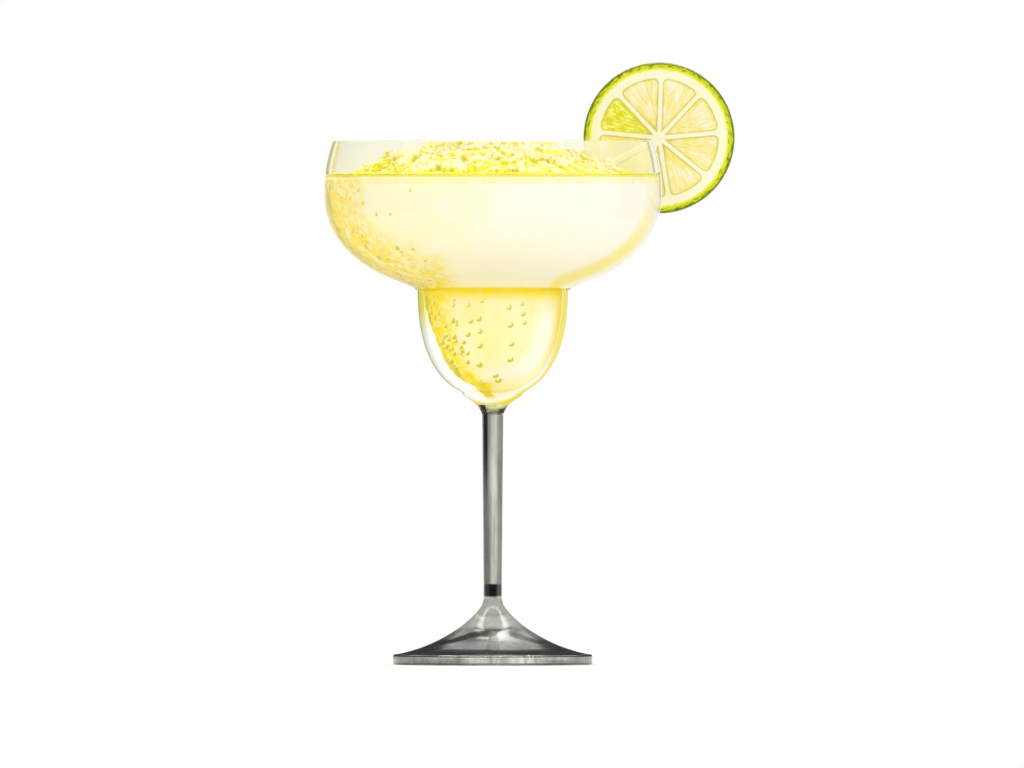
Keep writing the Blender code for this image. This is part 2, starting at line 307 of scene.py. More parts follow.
class Wire:
    """One output socket of a shader node, which can be added, subtracted and multiplied."""

    def __init__(self, paint, socket):
        self.paint = paint
        self.socket = socket

    def maths(self, operation, first, second):
        return self.paint.node("ShaderNodeMath", {"operation": operation}, {0: first, 1: second})

    def __add__(self, other):
        return self.maths("ADD", self, other)

    __radd__ = __add__

    def __sub__(self, other):
        return self.maths("SUBTRACT", self, other)

    def __rsub__(self, other):
        return self.maths("SUBTRACT", other, self)

    def __mul__(self, other):
        return self.maths("MULTIPLY", self, other)

    __rmul__ = __mul__

    def least(self, other):
        return self.maths("MINIMUM", self, other)

    def most(self, other):
        return self.maths("MAXIMUM", self, other)

    def between(self, low, high):
        """A soft step from 0 at low to 1 at high."""
        values = {0: self, 1: low, 2: high, 3: 0.0, 4: 1.0}
        return self.paint.node("ShaderNodeMapRange", {"interpolation_type": "SMOOTHSTEP"}, values)

    def window(self, low, low_full, high_full, high):
        """1 from low_full to high_full, falling softly to 0 at low and at high."""
        return self.between(low, low_full) * self.between(high, high_full)


class Paint:
    """The node tree of one material, or of the world, and the ways to add to it."""

    def __init__(self, owner):
        owner.use_nodes = True
        self.owner = owner
        self.tree = owner.node_tree
        self.tree.nodes.clear()

    def node(self, kind, settings, values, output=0):
        """Adds one node: its settings first, then each socket's value or link. Gives one of its outputs."""
        made = self.tree.nodes.new(kind)
        for name, value in settings.items():
            setattr(made, name, value)
        for socket, value in values.items():
            if isinstance(value, Wire):
                self.tree.links.new(value.socket, made.inputs[socket])
            else:
                made.inputs[socket].default_value = value
        return Wire(self, made.outputs[output])

    def mark(self, name):
        """A number kept on the mesh's points."""
        return self.node("ShaderNodeAttribute", {"attribute_name": name}, {}, output=2)

    def point(self):
        return self.node("ShaderNodeTexCoord", {}, {}, output=3)

    def height(self):
        """Height above the foot in millimetres."""
        return self.node("ShaderNodeSeparateXYZ", {}, {0: self.point()}, output=2) * (1.0 / MM)

    def across(self):
        """Distance to the right of the drink's axis in millimetres."""
        return self.node("ShaderNodeSeparateXYZ", {}, {0: self.point()}) * (1.0 / MM)

    def noise(self, size, detail=3.0, stretch=None):
        """Soft noise about as coarse as size, drawn out along an axis where stretch is below 1."""
        where = self.point()
        if stretch:
            where = self.node("ShaderNodeVectorMath", {"operation": "MULTIPLY"}, {0: where, 1: stretch})
        values = {"Vector": where, "Scale": 1.0 / size, "Detail": detail, "Roughness": 0.55}
        return self.node("ShaderNodeTexNoise", {}, values)

    def cells(self, size):
        """Distance to the nearest of scattered points, as a share of their spacing."""
        return self.node("ShaderNodeTexVoronoi", {}, {"Vector": self.point(), "Scale": 1.0 / size})

    def mix(self, share, first, second):
        """A colour between two colours."""
        values = {0: share, 6: first, 7: second}
        return self.node("ShaderNodeMix", {"data_type": "RGBA"}, values, output=2)

    def blend(self, share, first, second):
        """A shader between two shaders."""
        return self.node("ShaderNodeMixShader", {}, {0: share, 1: first, 2: second})

    def bump(self, height, distance, strength):
        values = {"Height": height, "Distance": distance, "Strength": strength}
        return self.node("ShaderNodeBump", {}, values)

    def shader(self, **values):
        """A Principled shader whose sockets are named with _ for each space."""
        named = {name.replace("_", " "): value for name, value in values.items()}
        return self.node("ShaderNodeBsdfPrincipled", {}, named)

    def finish(self, shader, kind="ShaderNodeOutputMaterial"):
        """Links the shader to the output and gives back the finished material."""
        made = self.tree.nodes.new(kind)
        self.tree.links.new(shader.socket, made.inputs["Surface"])
        return self.owner


print("helpers ready")


# %% [markdown]
# The glass
#
# It is blown in one piece: a thin bowl, a thick-based cup, a drawn stem and a pressed foot. One profile
# gives all of it. It starts in the middle of the underside, which is slightly hollow so that the glass
# stands on a ring, runs out over the foot's round edge, up the outside, over the fire-polished rim and
# down the inside. Four finishes share the mesh: stem and foot are solid glass and bend the light far more
# than the thin walls of cup, bowl and rim do.

# %% The glass shell
GLASS_SIDES = 256
UNDER_ROWS = 24
OUTSIDE_ROWS = 150
INSIDE_ROWS = 80
UNDERSIDE_RISE = 1.0 * MM
RESTING_RADIUS = 30.0 * MM
STEM_JOINT_Z = 89.5 * MM
BOWL_JOINT_Z = 130.0 * MM
RIM_JOINT_Z = FILL_Z + 0.2 * MM


def foot_top():
    """Height where the foot's upper side meets the rounding of its edge, read off the falling outline."""
    z = FOOT_EDGE_HEIGHT + (FLARE_TOP_Z - FOOT_EDGE_HEIGHT) * np.linspace(0.0, 1.0, CURVE_SAMPLES) ** 3
    return float(np.interp(FOOT_EDGE_ROUND - FOOT_RADIUS, -outer_radius(z), z))


def arc(middle_r, middle_z, radius, start, end, count):
    """Points (r, z) on a circle: r = middle + radius cos a, z = middle + radius sin a."""
    angle = np.radians(np.linspace(start, end, count))
    return middle_r + radius * np.cos(angle), middle_z + radius * np.sin(angle)


def glass_profile():
    """Radii and heights from the underside out, up, over the rim and down to the floor of the cup.

    The solid is made of flat facets, so its widest place is a hair narrower, and the shell keeps to that.
    """
    widest = float(cad_box[1][1])
    top_z = foot_top()
    lip = float(outer_radius(GLASS_HEIGHT) - inner_radius(GLASS_HEIGHT)) / 2
    lip_z = GLASS_HEIGHT - lip
    lip_middle = float(outer_radius(lip_z) + inner_radius(lip_z)) / 2
    edge_r = FOOT_RADIUS - FOOT_EDGE_ROUND
    under_r = np.linspace(1.0 * MM, RESTING_RADIUS, UNDER_ROWS)
    under_z = UNDERSIDE_RISE * (1.0 - (under_r / RESTING_RADIUS) ** 2) ** 2
    outside_z = even_heights(outer_radius, top_z, lip_z, OUTSIDE_ROWS)
    inside_z = even_heights(inner_radius, CUP_FLOOR_Z, lip_z, INSIDE_ROWS)[::-1]
    parts = [
        (under_r, under_z),
        arc(edge_r, FOOT_EDGE_ROUND, FOOT_EDGE_ROUND, -90.0, 0.0, 7),
        arc(edge_r, top_z - FOOT_EDGE_ROUND, FOOT_EDGE_ROUND, 0.0, 80.0, 7),
        (np.minimum(outer_radius(outside_z), widest), outside_z),
        arc(lip_middle, lip_z, lip, 15.0, 165.0, 11),
        (inner_radius(inside_z), inside_z),
    ]
    return np.concatenate([part[0] for part in parts]), np.concatenate([part[1] for part in parts])


glass_r, glass_z = glass_profile()
glass_mesh = turned("glass_shell", glass_r, glass_z, GLASS_SIDES, UNDERSIDE_RISE, CUP_FLOOR_Z)
row_finish = sum((glass_z[:-1] > joint) * 1 for joint in (STEM_JOINT_Z, BOWL_JOINT_Z, RIM_JOINT_Z))
face_finish = np.concatenate((np.repeat(row_finish, GLASS_SIDES), np.repeat((0, 1), GLASS_SIDES)))
glass_mesh.polygons.foreach_set("material_index", face_finish.astype(np.int32))
print("glass rows of stem, cup, bowl and rim:", np.bincount(row_finish))

# %% [markdown]
# Clear glass is a Principled shader with full transmission. For shadow rays it is swapped for plain
# transparency, which stands for the light that a real glass lets through and keeps the drink bright.
# The wall's colour at its left and right edge, and a band in the cup's upper left, is painted light and
# shade: the drink's yellow as the curved wall would bend and mirror it, darker on the left and paler on the
# right, growing with the facing weight. The thick base under the cup is painted with the drink's colours in
# the same way. The bowl's wall bends light enough for the drink to fill it to the outline. The cup's wall
# hardly bends it, and a clear band shows beside the drink. The mirror image of the studio lies in a coat,
# which is weak low on the vessel, where a white table would wash out the drink's colour. The dark strokes of
# stem and foot are painted shade: a tint alone can't make clear glass really dark, so they are a matt dark
# finish mixed in. A pale matt grey painted over the upper foot is painted light, standing in for the soft
# light seen through it.

# %% Finishes of the glass
SOLID_GLASS_IOR = 1.5
BOWL_WALL_IOR = 1.12
THIN_WALL_IOR = 1.015
MATT_IOR = 1.1
CLEAR = srgb(255, 255, 255)
BLACK = srgb(0, 0, 0)
DRY_WALL = srgb(254, 253, 242)
# Painted edge colours of the walls: darker on the left as painted shade, paler on the right as painted
# light.
CUP_EDGE_SHADE_AND_LIGHT = (srgb(206, 222, 70), srgb(248, 230, 104))
BOWL_EDGE_SHADE_AND_LIGHT = (srgb(248, 234, 110), srgb(253, 249, 222))
RIM_EDGE_SHADE_AND_LIGHT = (srgb(240, 230, 120), srgb(250, 242, 180))
# Painted light: the drink's colours as they show through the glass base under the cup.
BASE_CLEAR = srgb(252, 252, 240)
BASE_CREAM = srgb(254, 246, 186)
BASE_TIP = srgb(236, 214, 40)
BASE_YELLOW = srgb(240, 220, 72)
# Painted drink yellow in the cup's wall, a stand-in for the drink's light bent along the glass.
WALL_PAINTED_DRINK = srgb(244, 230, 96)
# Painted light: a pale grey laid over the foot's flare.
FOOT_PAINTED_LIGHT = srgb(200, 204, 200)
STEM_GREY = srgb(226, 229, 221)
STEM_DEEP = srgb(160, 162, 150)
# Painted shade: the dark colours of the strokes on stem and foot.
STEM_EDGE_SHADE = srgb(46, 48, 42)
FOOT_SHADE = srgb(74, 84, 74)
MATT_DARK_SHADE = srgb(28, 36, 28)
SHADE_SPOT = srgb(10, 10, 8)
BLACK_STREAK_SHADE = srgb(3, 3, 2)


def let_light_through(paint, glass):
    """Swaps the glass for plain transparency where a ray only asks how much light arrives."""
    through = paint.node("ShaderNodeBsdfTransparent", {}, {"Color": CLEAR})
    shadow = paint.node("ShaderNodeLightPath", {}, {}, output=1)
    return paint.blend(shadow, glass, through)


def facing_away(paint):
    """0 where the surface faces the viewer and 1 where it is seen edge on."""
    return paint.node("ShaderNodeLayerWeight", {}, {"Blend": 0.5}, output=1)


def beside_tip(paint, height):
    """Millimetres to the right of the slanting line in which juice runs down to the cup's point."""
    return paint.across() + height * 1.04 - 95.8


def painted_base_drink(paint, height):
    """Painted light in the base under the cup, the drink as seen through it: clear on the left, a slanting
    yellow tip, cream, and a yellow crescent.
    """
    x = paint.across()
    beside = beside_tip(paint, height)
    inside = beside.between(-2.4, -1.2)
    tint = paint.mix(inside, BASE_CLEAR, BASE_CREAM)
    tip = inside * beside.between(2.2, 0.8) * height.between(91.6, 93.2)
    tint = paint.mix(tip, tint, BASE_TIP)
    rise = height - (x + 1.0) * (x + 1.0) * 0.034
    tint = paint.mix(rise.window(90.8, 91.3, 91.9, 92.6) * 0.7, tint, BASE_CLEAR)
    return paint.mix(rise.between(91.0, 90.0), tint, BASE_YELLOW)


def wall_finish(name, ior, clear, edges, right_range):
    """Thin clear wall with painted light and shade at its left and right edge and in the cup's thick base.
    """
    paint = Paint(bpy.data.materials.new(name))
    height = paint.height()
    facing = facing_away(paint)
    across = paint.mark("across")
    film = paint.noise(6.0 * MM)
    # Painted light and shade: the drink's yellow in the upper left of the cup's wall and at both edges,
    # darker on the left and paler on the right.
    left = across.between(0.1, -0.3)
    upper_cup = height.window(112.0, 124.0, 129.6, 130.4)
    tint = paint.mix(facing.between(0.46, 0.60) * left * upper_cup, clear, WALL_PAINTED_DRINK)
    tint = paint.mix(facing.between(0.70, 0.88) * left, tint, edges[0])
    sloping = height.between(114.0, 98.0) * 0.14
    right = (facing - sloping).between(*right_range) * across.between(0.35, 0.70)
    tint = paint.mix(right, tint, edges[1])
    tint = paint.mix(height.between(95.4, 94.0), tint, painted_base_drink(paint, height))
    glass = paint.shader(
        Base_Color=tint,
        Roughness=0.01 + film * 0.03,
        IOR=ior,
        Transmission_Weight=1.0,
        Coat_Weight=(height.between(132.0, 166.0) * 0.35 + 0.15) * facing.between(0.85, 0.50),
        Coat_Roughness=0.04,
        Coat_IOR=SOLID_GLASS_IOR,
    )
    return paint.finish(let_light_through(paint, glass))


def stem_finish():
    """Solid grey glass with painted shade: a dark streak down the stem's left, a dark ring at its top, a
    dark spot over the foot, and dark bands and strokes round the foot's edge; a pale grey over the flare is
    painted light.
    """
    paint = Paint(bpy.data.materials.new("stem_glass"))
    height = paint.height()
    across = paint.mark("across")
    off_middle = across * across
    streaks = paint.noise(2.2 * MM, detail=4.0, stretch=(1.0, 1.0, 0.08))
    clouds = paint.noise(9.0 * MM, detail=4.0)
    tint = paint.mix(streaks.between(0.35, 0.7), STEM_GREY, STEM_DEEP)
    # Painted shade: darker towards the stem's sides, and a black streak down its left.
    edges = across.between(-0.50, -0.80) + across.between(0.75, 0.95) * 0.5
    tint = paint.mix(edges * height.between(40.0, 90.0) * 0.6, tint, STEM_EDGE_SHADE)
    streak = across.window(-0.90, -0.76, -0.56, -0.44) * (height + streaks * 20.0).between(58.0, 90.0)
    tint = paint.mix(streak, tint, BLACK_STREAK_SHADE)
    # Painted shade: a dark ring where the stem meets the cup.
    shade_ring = (height + streaks * 1.6).window(87.2, 87.8, 89.0, 89.8)
    tint = paint.mix(shade_ring * 0.85, tint, FOOT_SHADE)
    shade_ring = shade_ring * off_middle.between(0.12, 0.40)
    # Painted shade: a dark spot in the stem's middle just over the foot.
    shade_spot = (height + (clouds - 0.5) * 1.5).window(22.9, 23.7, 27.6, 28.2)
    shade_spot = shade_spot * (off_middle + streaks * 0.06).between(0.24, 0.15)
    tint = paint.mix(shade_spot, tint, SHADE_SPOT)
    # Painted shade: a dark band low on the foot and dark strokes towards its sides.
    band = height.between(3.4, 3.7) * (height + clouds * 1.2).between(6.2, 5.4)
    sides = off_middle.between(0.35, 0.60) * height.between(4.0, 5.0)
    sides = sides * (height + across * 1.5).between(12.0, 8.5)
    tint = paint.mix((band + sides * 0.85).least(1.0), tint, FOOT_SHADE)
    glass = paint.shader(
        Base_Color=tint,
        Roughness=0.02 + clouds * 0.05 + height.between(24.0, 20.0) * 0.09,
        IOR=SOLID_GLASS_IOR,
        Transmission_Weight=1.0,
        Normal=paint.bump(streaks, 0.05 * MM, 0.3),
    )

    def matt(colour):
        return paint.shader(Base_Color=colour, Roughness=0.5 + clouds * 0.2, IOR=MATT_IOR)

    # Painted shade: matt dark strokes, an arch, lines and the ring, mixed into the glass.
    wander = (clouds - 0.5) * 1.6
    arch = (height + off_middle * off_middle * 7.0 + wander).window(9.0, 9.9, 11.3, 12.3)
    arch = arch * (across.between(0.06, -0.16) + across.between(0.30, 0.50) * 0.6)
    line = height.between(3.5, 3.9) * (height + wander * 0.6).between(5.8, 5.1)
    thin = (height - off_middle * 3.0).window(11.5, 11.8, 12.1, 12.5) * off_middle.between(0.40, 0.25)
    dark = (line * 0.8).most(arch * 0.92).most(thin * 0.55).most(shade_ring * 0.8).most(streak * 0.85)
    # Painted light: half a pale matt grey over the flare, in place of the light seen through it.
    painted_light = (height + clouds * 2.0).window(12.0, 14.5, 22.0, 25.0)
    glass = paint.blend(painted_light * 0.5, glass, matt(FOOT_PAINTED_LIGHT))
    glass = paint.blend(dark, glass, matt(MATT_DARK_SHADE))
    return paint.finish(let_light_through(paint, glass))


glass_azimuth = np.linspace(0.0, 2.0 * math.pi, GLASS_SIDES, endpoint=False)
mark(glass_mesh, "across", np.append(np.tile(np.cos(glass_azimuth), len(glass_z)), (0.0, 0.0)))
cup_glass = wall_finish("cup_glass", THIN_WALL_IOR, CLEAR, CUP_EDGE_SHADE_AND_LIGHT, (0.46, 0.66))
bowl_glass = wall_finish("bowl_glass", BOWL_WALL_IOR, CLEAR, BOWL_EDGE_SHADE_AND_LIGHT, (0.70, 1.0))
rim_glass = wall_finish("rim_glass", THIN_WALL_IOR, DRY_WALL, RIM_EDGE_SHADE_AND_LIGHT, (0.70, 1.0))
place(glass_mesh, "clear_glass", stem_finish(), cup_glass, bowl_glass, rim_glass, stands_for="glass")

# %% [markdown]
# The slush behind the wall
#
# Seen through the glass, slush is smooth and milky. Foam and trapped air collect on one side, where the
# ice grains stay coarse. Deeper yellow bands run along the right outline, at the step between bowl and cup
# and along the level; high at the cup's right edge the band is painted shade. The drink is painted whiter
# towards the right as painted light, with a painted highlight down the cup's right side and a painted glow
# low in the bowl and in the cup. The side is the same turned form as the hollow, made to reach 0.15 mm into
# the wall so that no air gap shows. Each point keeps its distance to the left and to the right outline,
# measured square to it in the front view, and the finish turns these distances into bands.

# %% The slush body
SLUSH_SIDES = 320
SLUSH_ROWS = 240
WALL_BITE = 0.15 * MM
SLUSH_FLOOR_Z = CUP_FLOOR_Z - WALL_BITE
OUTLINE_SAMPLES = 240


def slush_radius(z):
    return inner_radius(z, -WALL_BITE)


slush_z = even_heights(slush_radius, SLUSH_FLOOR_Z, FILL_Z, SLUSH_ROWS)
slush_mesh = turned("slush_body", slush_radius(slush_z), slush_z, SLUSH_SIDES, SLUSH_FLOOR_Z, FILL_Z)


def outline_distance(corners, side):
    """Least distance from (x, z) to the outline x = side r(z), for every corner at once."""
    line_z = even_heights(slush_radius, SLUSH_FLOOR_Z, FILL_Z, OUTLINE_SAMPLES)
    line_x = side * slush_radius(line_z)
    away = np.full(len(corners), np.inf)
    for x, z in zip(line_x, line_z):
        away = np.minimum(away, np.hypot(corners[:, 0] - x, corners[:, 2] - z))
    return away


def corners_of(mesh):
    found = np.empty(len(mesh.vertices) * 3)
    mesh.vertices.foreach_get("co", found)
    return found.reshape(-1, 3)


slush_corners = corners_of(slush_mesh)
mark(slush_mesh, "from_left", outline_distance(slush_corners, -1.0) / MM)
mark(slush_mesh, "from_right", outline_distance(slush_corners, 1.0) / MM)

# %% Finish of the slush body
WHITE = srgb(255, 250, 234)
CREAM = srgb(255, 247, 208)
PALE = srgb(254, 244, 170)
YELLOW = srgb(250, 230, 70)
DEEP = srgb(246, 220, 30)
OLIVE = srgb(190, 184, 10)
ORANGE = srgb(254, 222, 56)
FOAM = srgb(255, 249, 226)
CLEAR_BAND = srgb(252, 252, 240)
CUP_PALE = srgb(242, 229, 152)
CUP_CREAM = srgb(244, 234, 180)
# Painted highlight in the cup.
CUP_HIGHLIGHT = srgb(248, 240, 220)
LEVEL = srgb(232, 216, 44)
SLUSH_IOR = 1.33


def slush_finish():
    """Milky cream with juice-coloured bands at outlines, step and level, and foam on the left. Whiter to the
    right as painted light, with a painted highlight and painted shade in the cup and a painted glow low
    down.
    """
    paint = Paint(bpy.data.materials.new("lemon_slush_body"))
    height = paint.height()
    left = paint.mark("from_left")
    right = paint.mark("from_right")
    wander = paint.noise(7.0 * MM, detail=4.0) - 0.5
    clouds = paint.noise(16.0 * MM, detail=2.0)
    patches = paint.noise(3.0 * MM, detail=3.0)
    grain = paint.noise(1.3 * MM, detail=4.0)
    cup = height.between(131.5, 128.0)

    # Painted light: whiter towards the right outline, mixed with random clouds.
    middle = paint.mix((clouds * 0.6 + right.between(70.0, 10.0) * 0.5).between(0.35, 0.7), CREAM, WHITE)
    middle = paint.mix(height.between(165.0, 135.0) * left.between(90.0, 20.0) * 0.4, middle, PALE)
    middle = paint.mix(cup, middle, paint.mix(clouds.between(0.35, 0.65), CUP_PALE, CUP_CREAM))

    blobs = (paint.cells(3.4 * MM) + wander * 0.5).between(0.56, 0.26)
    small_blobs = paint.cells(1.9 * MM).between(0.42, 0.16)
    specks = (paint.cells(3.3 * MM) - cup * 0.07).between(0.15, 0.08)
    juice = paint.mix(patches.between(0.42, 0.60), ORANGE, YELLOW)
    juice = paint.mix(cup * 0.6, juice, DEEP)
    juice = paint.mix(cup * wander.between(-0.1, 0.3) * 0.6, juice, OLIVE)
    foam = paint.mix(blobs.most(small_blobs) * (0.54 - cup * 0.24), juice, FOAM)
    foam = paint.mix(specks * 0.85, foam, OLIVE)
    clear = 0.3 + height.between(126.0, 111.0) * 1.8 - height.between(110.0, 98.0) * 0.4
    clear = clear * height.between(94.0, 97.0) * cup
    low = height.between(110.0, 97.0)
    kept = 1.0 - height.between(104.0, 97.0) * paint.across().between(-2.5, 1.5)
    reach = left - clear + wander * (9.0 - low * 6.0)
    body = paint.mix(reach.between(15.0 - cup * 5.0 - low * 7.0, 4.0 - low * 2.4) * kept, middle, foam)
    seam = left - clear + wander * 1.5
    edge_juice = paint.mix(patches.between(0.4, 0.6), DEEP, OLIVE)
    body = paint.mix(seam.between(2.6, 0.8) * 0.85 * kept, body, edge_juice)
    body = paint.mix((left - clear + patches * 0.8).between(0.7, 0.2) * cup * kept, body, CLEAR_BAND)

    bowl_band = right.window(0.2, 1.6, 2.5, 5.5) * (1.0 - cup) * height.between(168.0, 142.0)
    body = paint.mix(bowl_band * 0.8, body, YELLOW)
    # Painted shade: deeper yellow along the right edge high in the cup.
    cup_edge_shade = (right + wander * 1.2).between(3.4, 0.2) * cup * height.between(104.0, 122.0)
    body = paint.mix(cup_edge_shade * 0.6, body, DEEP)
    # Painted highlight: a white streak down the cup's right side.
    cup_highlight = right.window(0.6, 3.0, 5.5, 10.0) * cup * height.between(127.0, 117.0)
    body = paint.mix(cup_highlight * height.between(96.0, 103.0) * 0.9, body, CUP_HIGHLIGHT)
    beside = beside_tip(paint, height) + wander * 1.5
    tip = beside.window(-2.2, -1.0, 0.8, 2.2) * height.between(104.0, 100.0)
    body = paint.mix(tip * 0.9, body, paint.mix(0.65, edge_juice, DEEP))

    step = height.window(124.5, 129.6, 130.4, 132.0) * (0.6 + patches * 0.8)
    body = paint.mix(step.least(1.0), body, DEEP)

    low_line = height.window(165.8, 166.6, 167.2, 167.8) * 0.45 * patches.between(0.3, 0.6)
    body = paint.mix(low_line, body, YELLOW)
    body = paint.mix(height.window(167.2, 167.6, 168.2, 168.6) * 0.8, body, PALE)
    body = paint.mix(height.between(168.2, 168.6) * 0.66, body, LEVEL)

    # Painted glow: light given off in the drink's own colour, low in the bowl and in the cup and most at the
    # cup's bottom.
    painted_glow = height.between(166.0, 140.0) * 0.3 + height.between(102.0, 95.0) * 0.5
    painted_glow = paint.mix(painted_glow, BLACK, body)
    soft = paint.shader(
        Base_Color=body,
        Roughness=0.25 + grain * 0.2,
        IOR=SLUSH_IOR,
        Subsurface_Weight=0.15,
        Subsurface_Radius=(1.0, 0.85, 0.4),
        Subsurface_Scale=1.5 * MM,
        Emission_Color=painted_glow,
        Emission_Strength=0.3,
        Normal=paint.bump(grain, 0.1 * MM, 0.2),
    )
    return paint.finish(soft)


place(slush_mesh, "lemon_slush", slush_finish(), stands_for="slush")

# %% [markdown]
# The heap of crushed ice
#
# Above the level the slush is heaped up to the rim. Its base form is a low dome with 120 round clumps, the
# same numbers as in the solid. On top come the marks of crushed ice: flat chips that lie at all angles,
# then a fine grain. Chips are cells round scattered points, each a tilted plane of its own.

# %% Noise for relief
TABLE_SIDE = 64


def cell_pattern(x, y, size, seed):
    """Cells round scattered points: (offset x, offset y, distance, gap to the next, two random numbers)."""
    draw = np.random.default_rng(seed)
    table = draw.random((TABLE_SIDE, TABLE_SIDE, 4))
    across, along = x / size, y / size
    column, row = np.floor(across).astype(int), np.floor(along).astype(int)
    best = np.full(x.shape, np.inf)
    second = np.full(x.shape, np.inf)
    found = [np.zeros(x.shape) for _ in range(4)]
    for shift_x in (-1, 0, 1):
        for shift_y in (-1, 0, 1):
            cell = table[(column + shift_x) % TABLE_SIDE, (row + shift_y) % TABLE_SIDE]
            dx = across - (column + shift_x + cell[..., 0])
            dy = along - (row + shift_y + cell[..., 1])
            away = np.hypot(dx, dy)
            nearer = away < best
            second = np.where(nearer, best, np.minimum(second, away))
            best = np.where(nearer, away, best)
            for kept, value in zip(found, (dx, dy, cell[..., 2], cell[..., 3])):
                kept[nearer] = value[nearer]
    return found[0], found[1], best, second - best, found[2], found[3]


def chips(x, y, size, seed, tilt=0.9):
    """Flat chips: height = random level + random slope times the offset from the chip's middle.

    The places are first bent by a few waves, so that the chips' edges curve and differ.
    """
    bent_x = x + size * (0.13 * np.sin(7.1 * y / size + seed) + 0.07 * np.sin(17.0 * x / size + 2.0 * seed))
    bent_y = y + size * (0.13 * np.sin(6.3 * x / size + seed) + 0.07 * np.sin(19.0 * y / size + 3.0 * seed))
    dx, dy, _, gap, level, turn = cell_pattern(bent_x, bent_y, size, seed)
    slope_x = tilt * np.cos(2.0 * math.pi * turn)
    slope_y = tilt * np.sin(2.0 * math.pi * turn)
    height = level + slope_x * dx + slope_y * dy
    return height * (0.45 + 0.55 * smooth_step(gap, 0.0, 0.18))


def blurred(grid, reach):
    """The grid averaged over squares of 2 reach + 1 points, its edges repeated."""
    width = 2 * reach + 1
    for axis in (0, 1):
        pad = [(0, 0), (0, 0)]
        pad[axis] = (reach + 1, reach)
        total = np.cumsum(np.pad(grid, pad, mode="edge"), axis=axis)
        upper = np.take(total, np.arange(width, total.shape[axis]), axis=axis)
        lower = np.take(total, np.arange(0, total.shape[axis] - width), axis=axis)
        grid = (upper - lower) / width
    return grid


# %% The heap
HEAP_SIDE = 300
CHIP_SIZE = 7.5 * MM
CHIP_HEIGHT = 2.0 * MM
SMALL_CHIP_SIZE = 3.2 * MM
SMALL_CHIP_HEIGHT = 0.7 * MM
GRAIN_SIZE = 1.0 * MM
GRAIN_HEIGHT = 0.12 * MM
RIM_CLEARANCE = 0.15 * MM
MENISCUS_HEIGHT = 0.4 * MM
MENISCUS_WIDTH = 1.2 * MM
JUICE_RIM = (49.0 * MM, 52.5 * MM)
SKIRT_DEPTH = 3.0 * MM


def lumps():
    """The 120 clumps of the solid, as rows (x, y, radius, height): same generator, same order of draws."""
    draw = random.Random(LUMP_SEED)
    found = []
    for _ in range(LUMP_COUNT):
        reach = MOUND_RADIUS * math.sqrt(draw.random())
        angle = draw.uniform(0.0, 2.0 * math.pi)
        radius = draw.uniform(*LUMP_RADIUS)
        height = radius * draw.uniform(*LUMP_STEEPNESS)
        found.append((reach * math.cos(angle), reach * math.sin(angle), radius, height))
    return found


def mound_height(x, y):
    """Dome plus the highest clump, faded at its foot: dome = H (1 - s^a)^b, clump = h sqrt(1 - d^2)."""
    reach = np.minimum(np.hypot(x, y) / MOUND_RADIUS, 1.0)
    dome = MOUND_HEIGHT * (1.0 - reach**MOUND_FLATNESS) ** MOUND_SLOPE
    cap = np.zeros(x.shape)
    for lump_x, lump_y, radius, height in lumps():
        away = np.minimum(np.hypot(x - lump_x, y - lump_y) / radius, 1.0)
        cap = np.maximum(cap, height * np.sqrt(1.0 - away * away))
    return dome + cap * np.minimum(dome / LUMP_FADE, 1.0)


def heap_height(x, y):
    """Mound, chips where ice is heaped, and grain, with the drink's edge drawn up the wall a little."""
    mound = mound_height(x, y)
    iced = smooth_step(mound, 0.2 * MM, 2.5 * MM)
    relief = CHIP_HEIGHT * (chips(x, y, CHIP_SIZE, 3) - 0.6)
    relief = relief + SMALL_CHIP_HEIGHT * (chips(x + 0.4 * y, y - 0.4 * x, SMALL_CHIP_SIZE, 5) - 0.5)
    grain = GRAIN_HEIGHT * (chips(x, y, GRAIN_SIZE, 7, tilt=0.6) - 0.5)
    from_wall = inner_radius(FILL_Z) - np.hypot(x, y)
    meniscus = MENISCUS_HEIGHT * np.exp(-np.maximum(from_wall, 0.0) / MENISCUS_WIDTH)
    height = FILL_Z + mound + relief * iced + grain * (0.35 + 0.65 * iced) + meniscus
    return np.minimum(height, GLASS_HEIGHT - RIM_CLEARANCE)


def disc_grid(side, radius):
    """A square grid pressed into a disc: each square ring becomes a circle, so there is no pole."""
    u, v = np.meshgrid(np.linspace(-1.0, 1.0, side), np.linspace(-1.0, 1.0, side), indexing="ij")
    return radius * u * np.sqrt(1.0 - v * v / 2.0), radius * v * np.sqrt(1.0 - u * u / 2.0)


def make_heap():
    """The disc of heights, closed by a skirt that goes down into the body and by one face underneath."""
    x, y = disc_grid(HEAP_SIDE, float(slush_radius(np.array(FILL_Z))))
    z = heap_height(x, y)
    top = np.stack((x, y, z), axis=-1).reshape(-1, 3)
    index = np.arange(HEAP_SIDE * HEAP_SIDE).reshape(HEAP_SIDE, HEAP_SIDE)
    quads = np.stack((index[:-1, :-1], index[1:, :-1], index[1:, 1:], index[:-1, 1:]), axis=-1)
    quads = quads.reshape(-1, 4)
    rim = np.concatenate((index[:-1, 0], index[-1, :-1], index[:0:-1, -1], index[0, :0:-1]))
    low = top[rim] * (0.99, 0.99, 0.0) + (0.0, 0.0, FILL_Z - SKIRT_DEPTH)
    low_index = len(top) + np.arange(len(rim))
    skirt = np.stack((rim, low_index, np.roll(low_index, -1), np.roll(rim, -1)), axis=-1)
    mesh = new_mesh("slush_heap", np.concatenate((top, low)), quads, skirt, low_index[::-1][None, :])
    hollow = (z - blurred(z, 5)) / (0.55 * MM)
    wide_hollow = (z - blurred(z, 14)) / (1.4 * MM)
    depth = np.clip(-(0.6 * hollow + 0.6 * wide_hollow), -1.0, 1.0)
    depth = depth + 0.6 * smooth_step(np.hypot(x, y), *JUICE_RIM)
    mark(mesh, "hollow", np.append(depth.ravel(), np.ones(len(rim))))
    return mesh


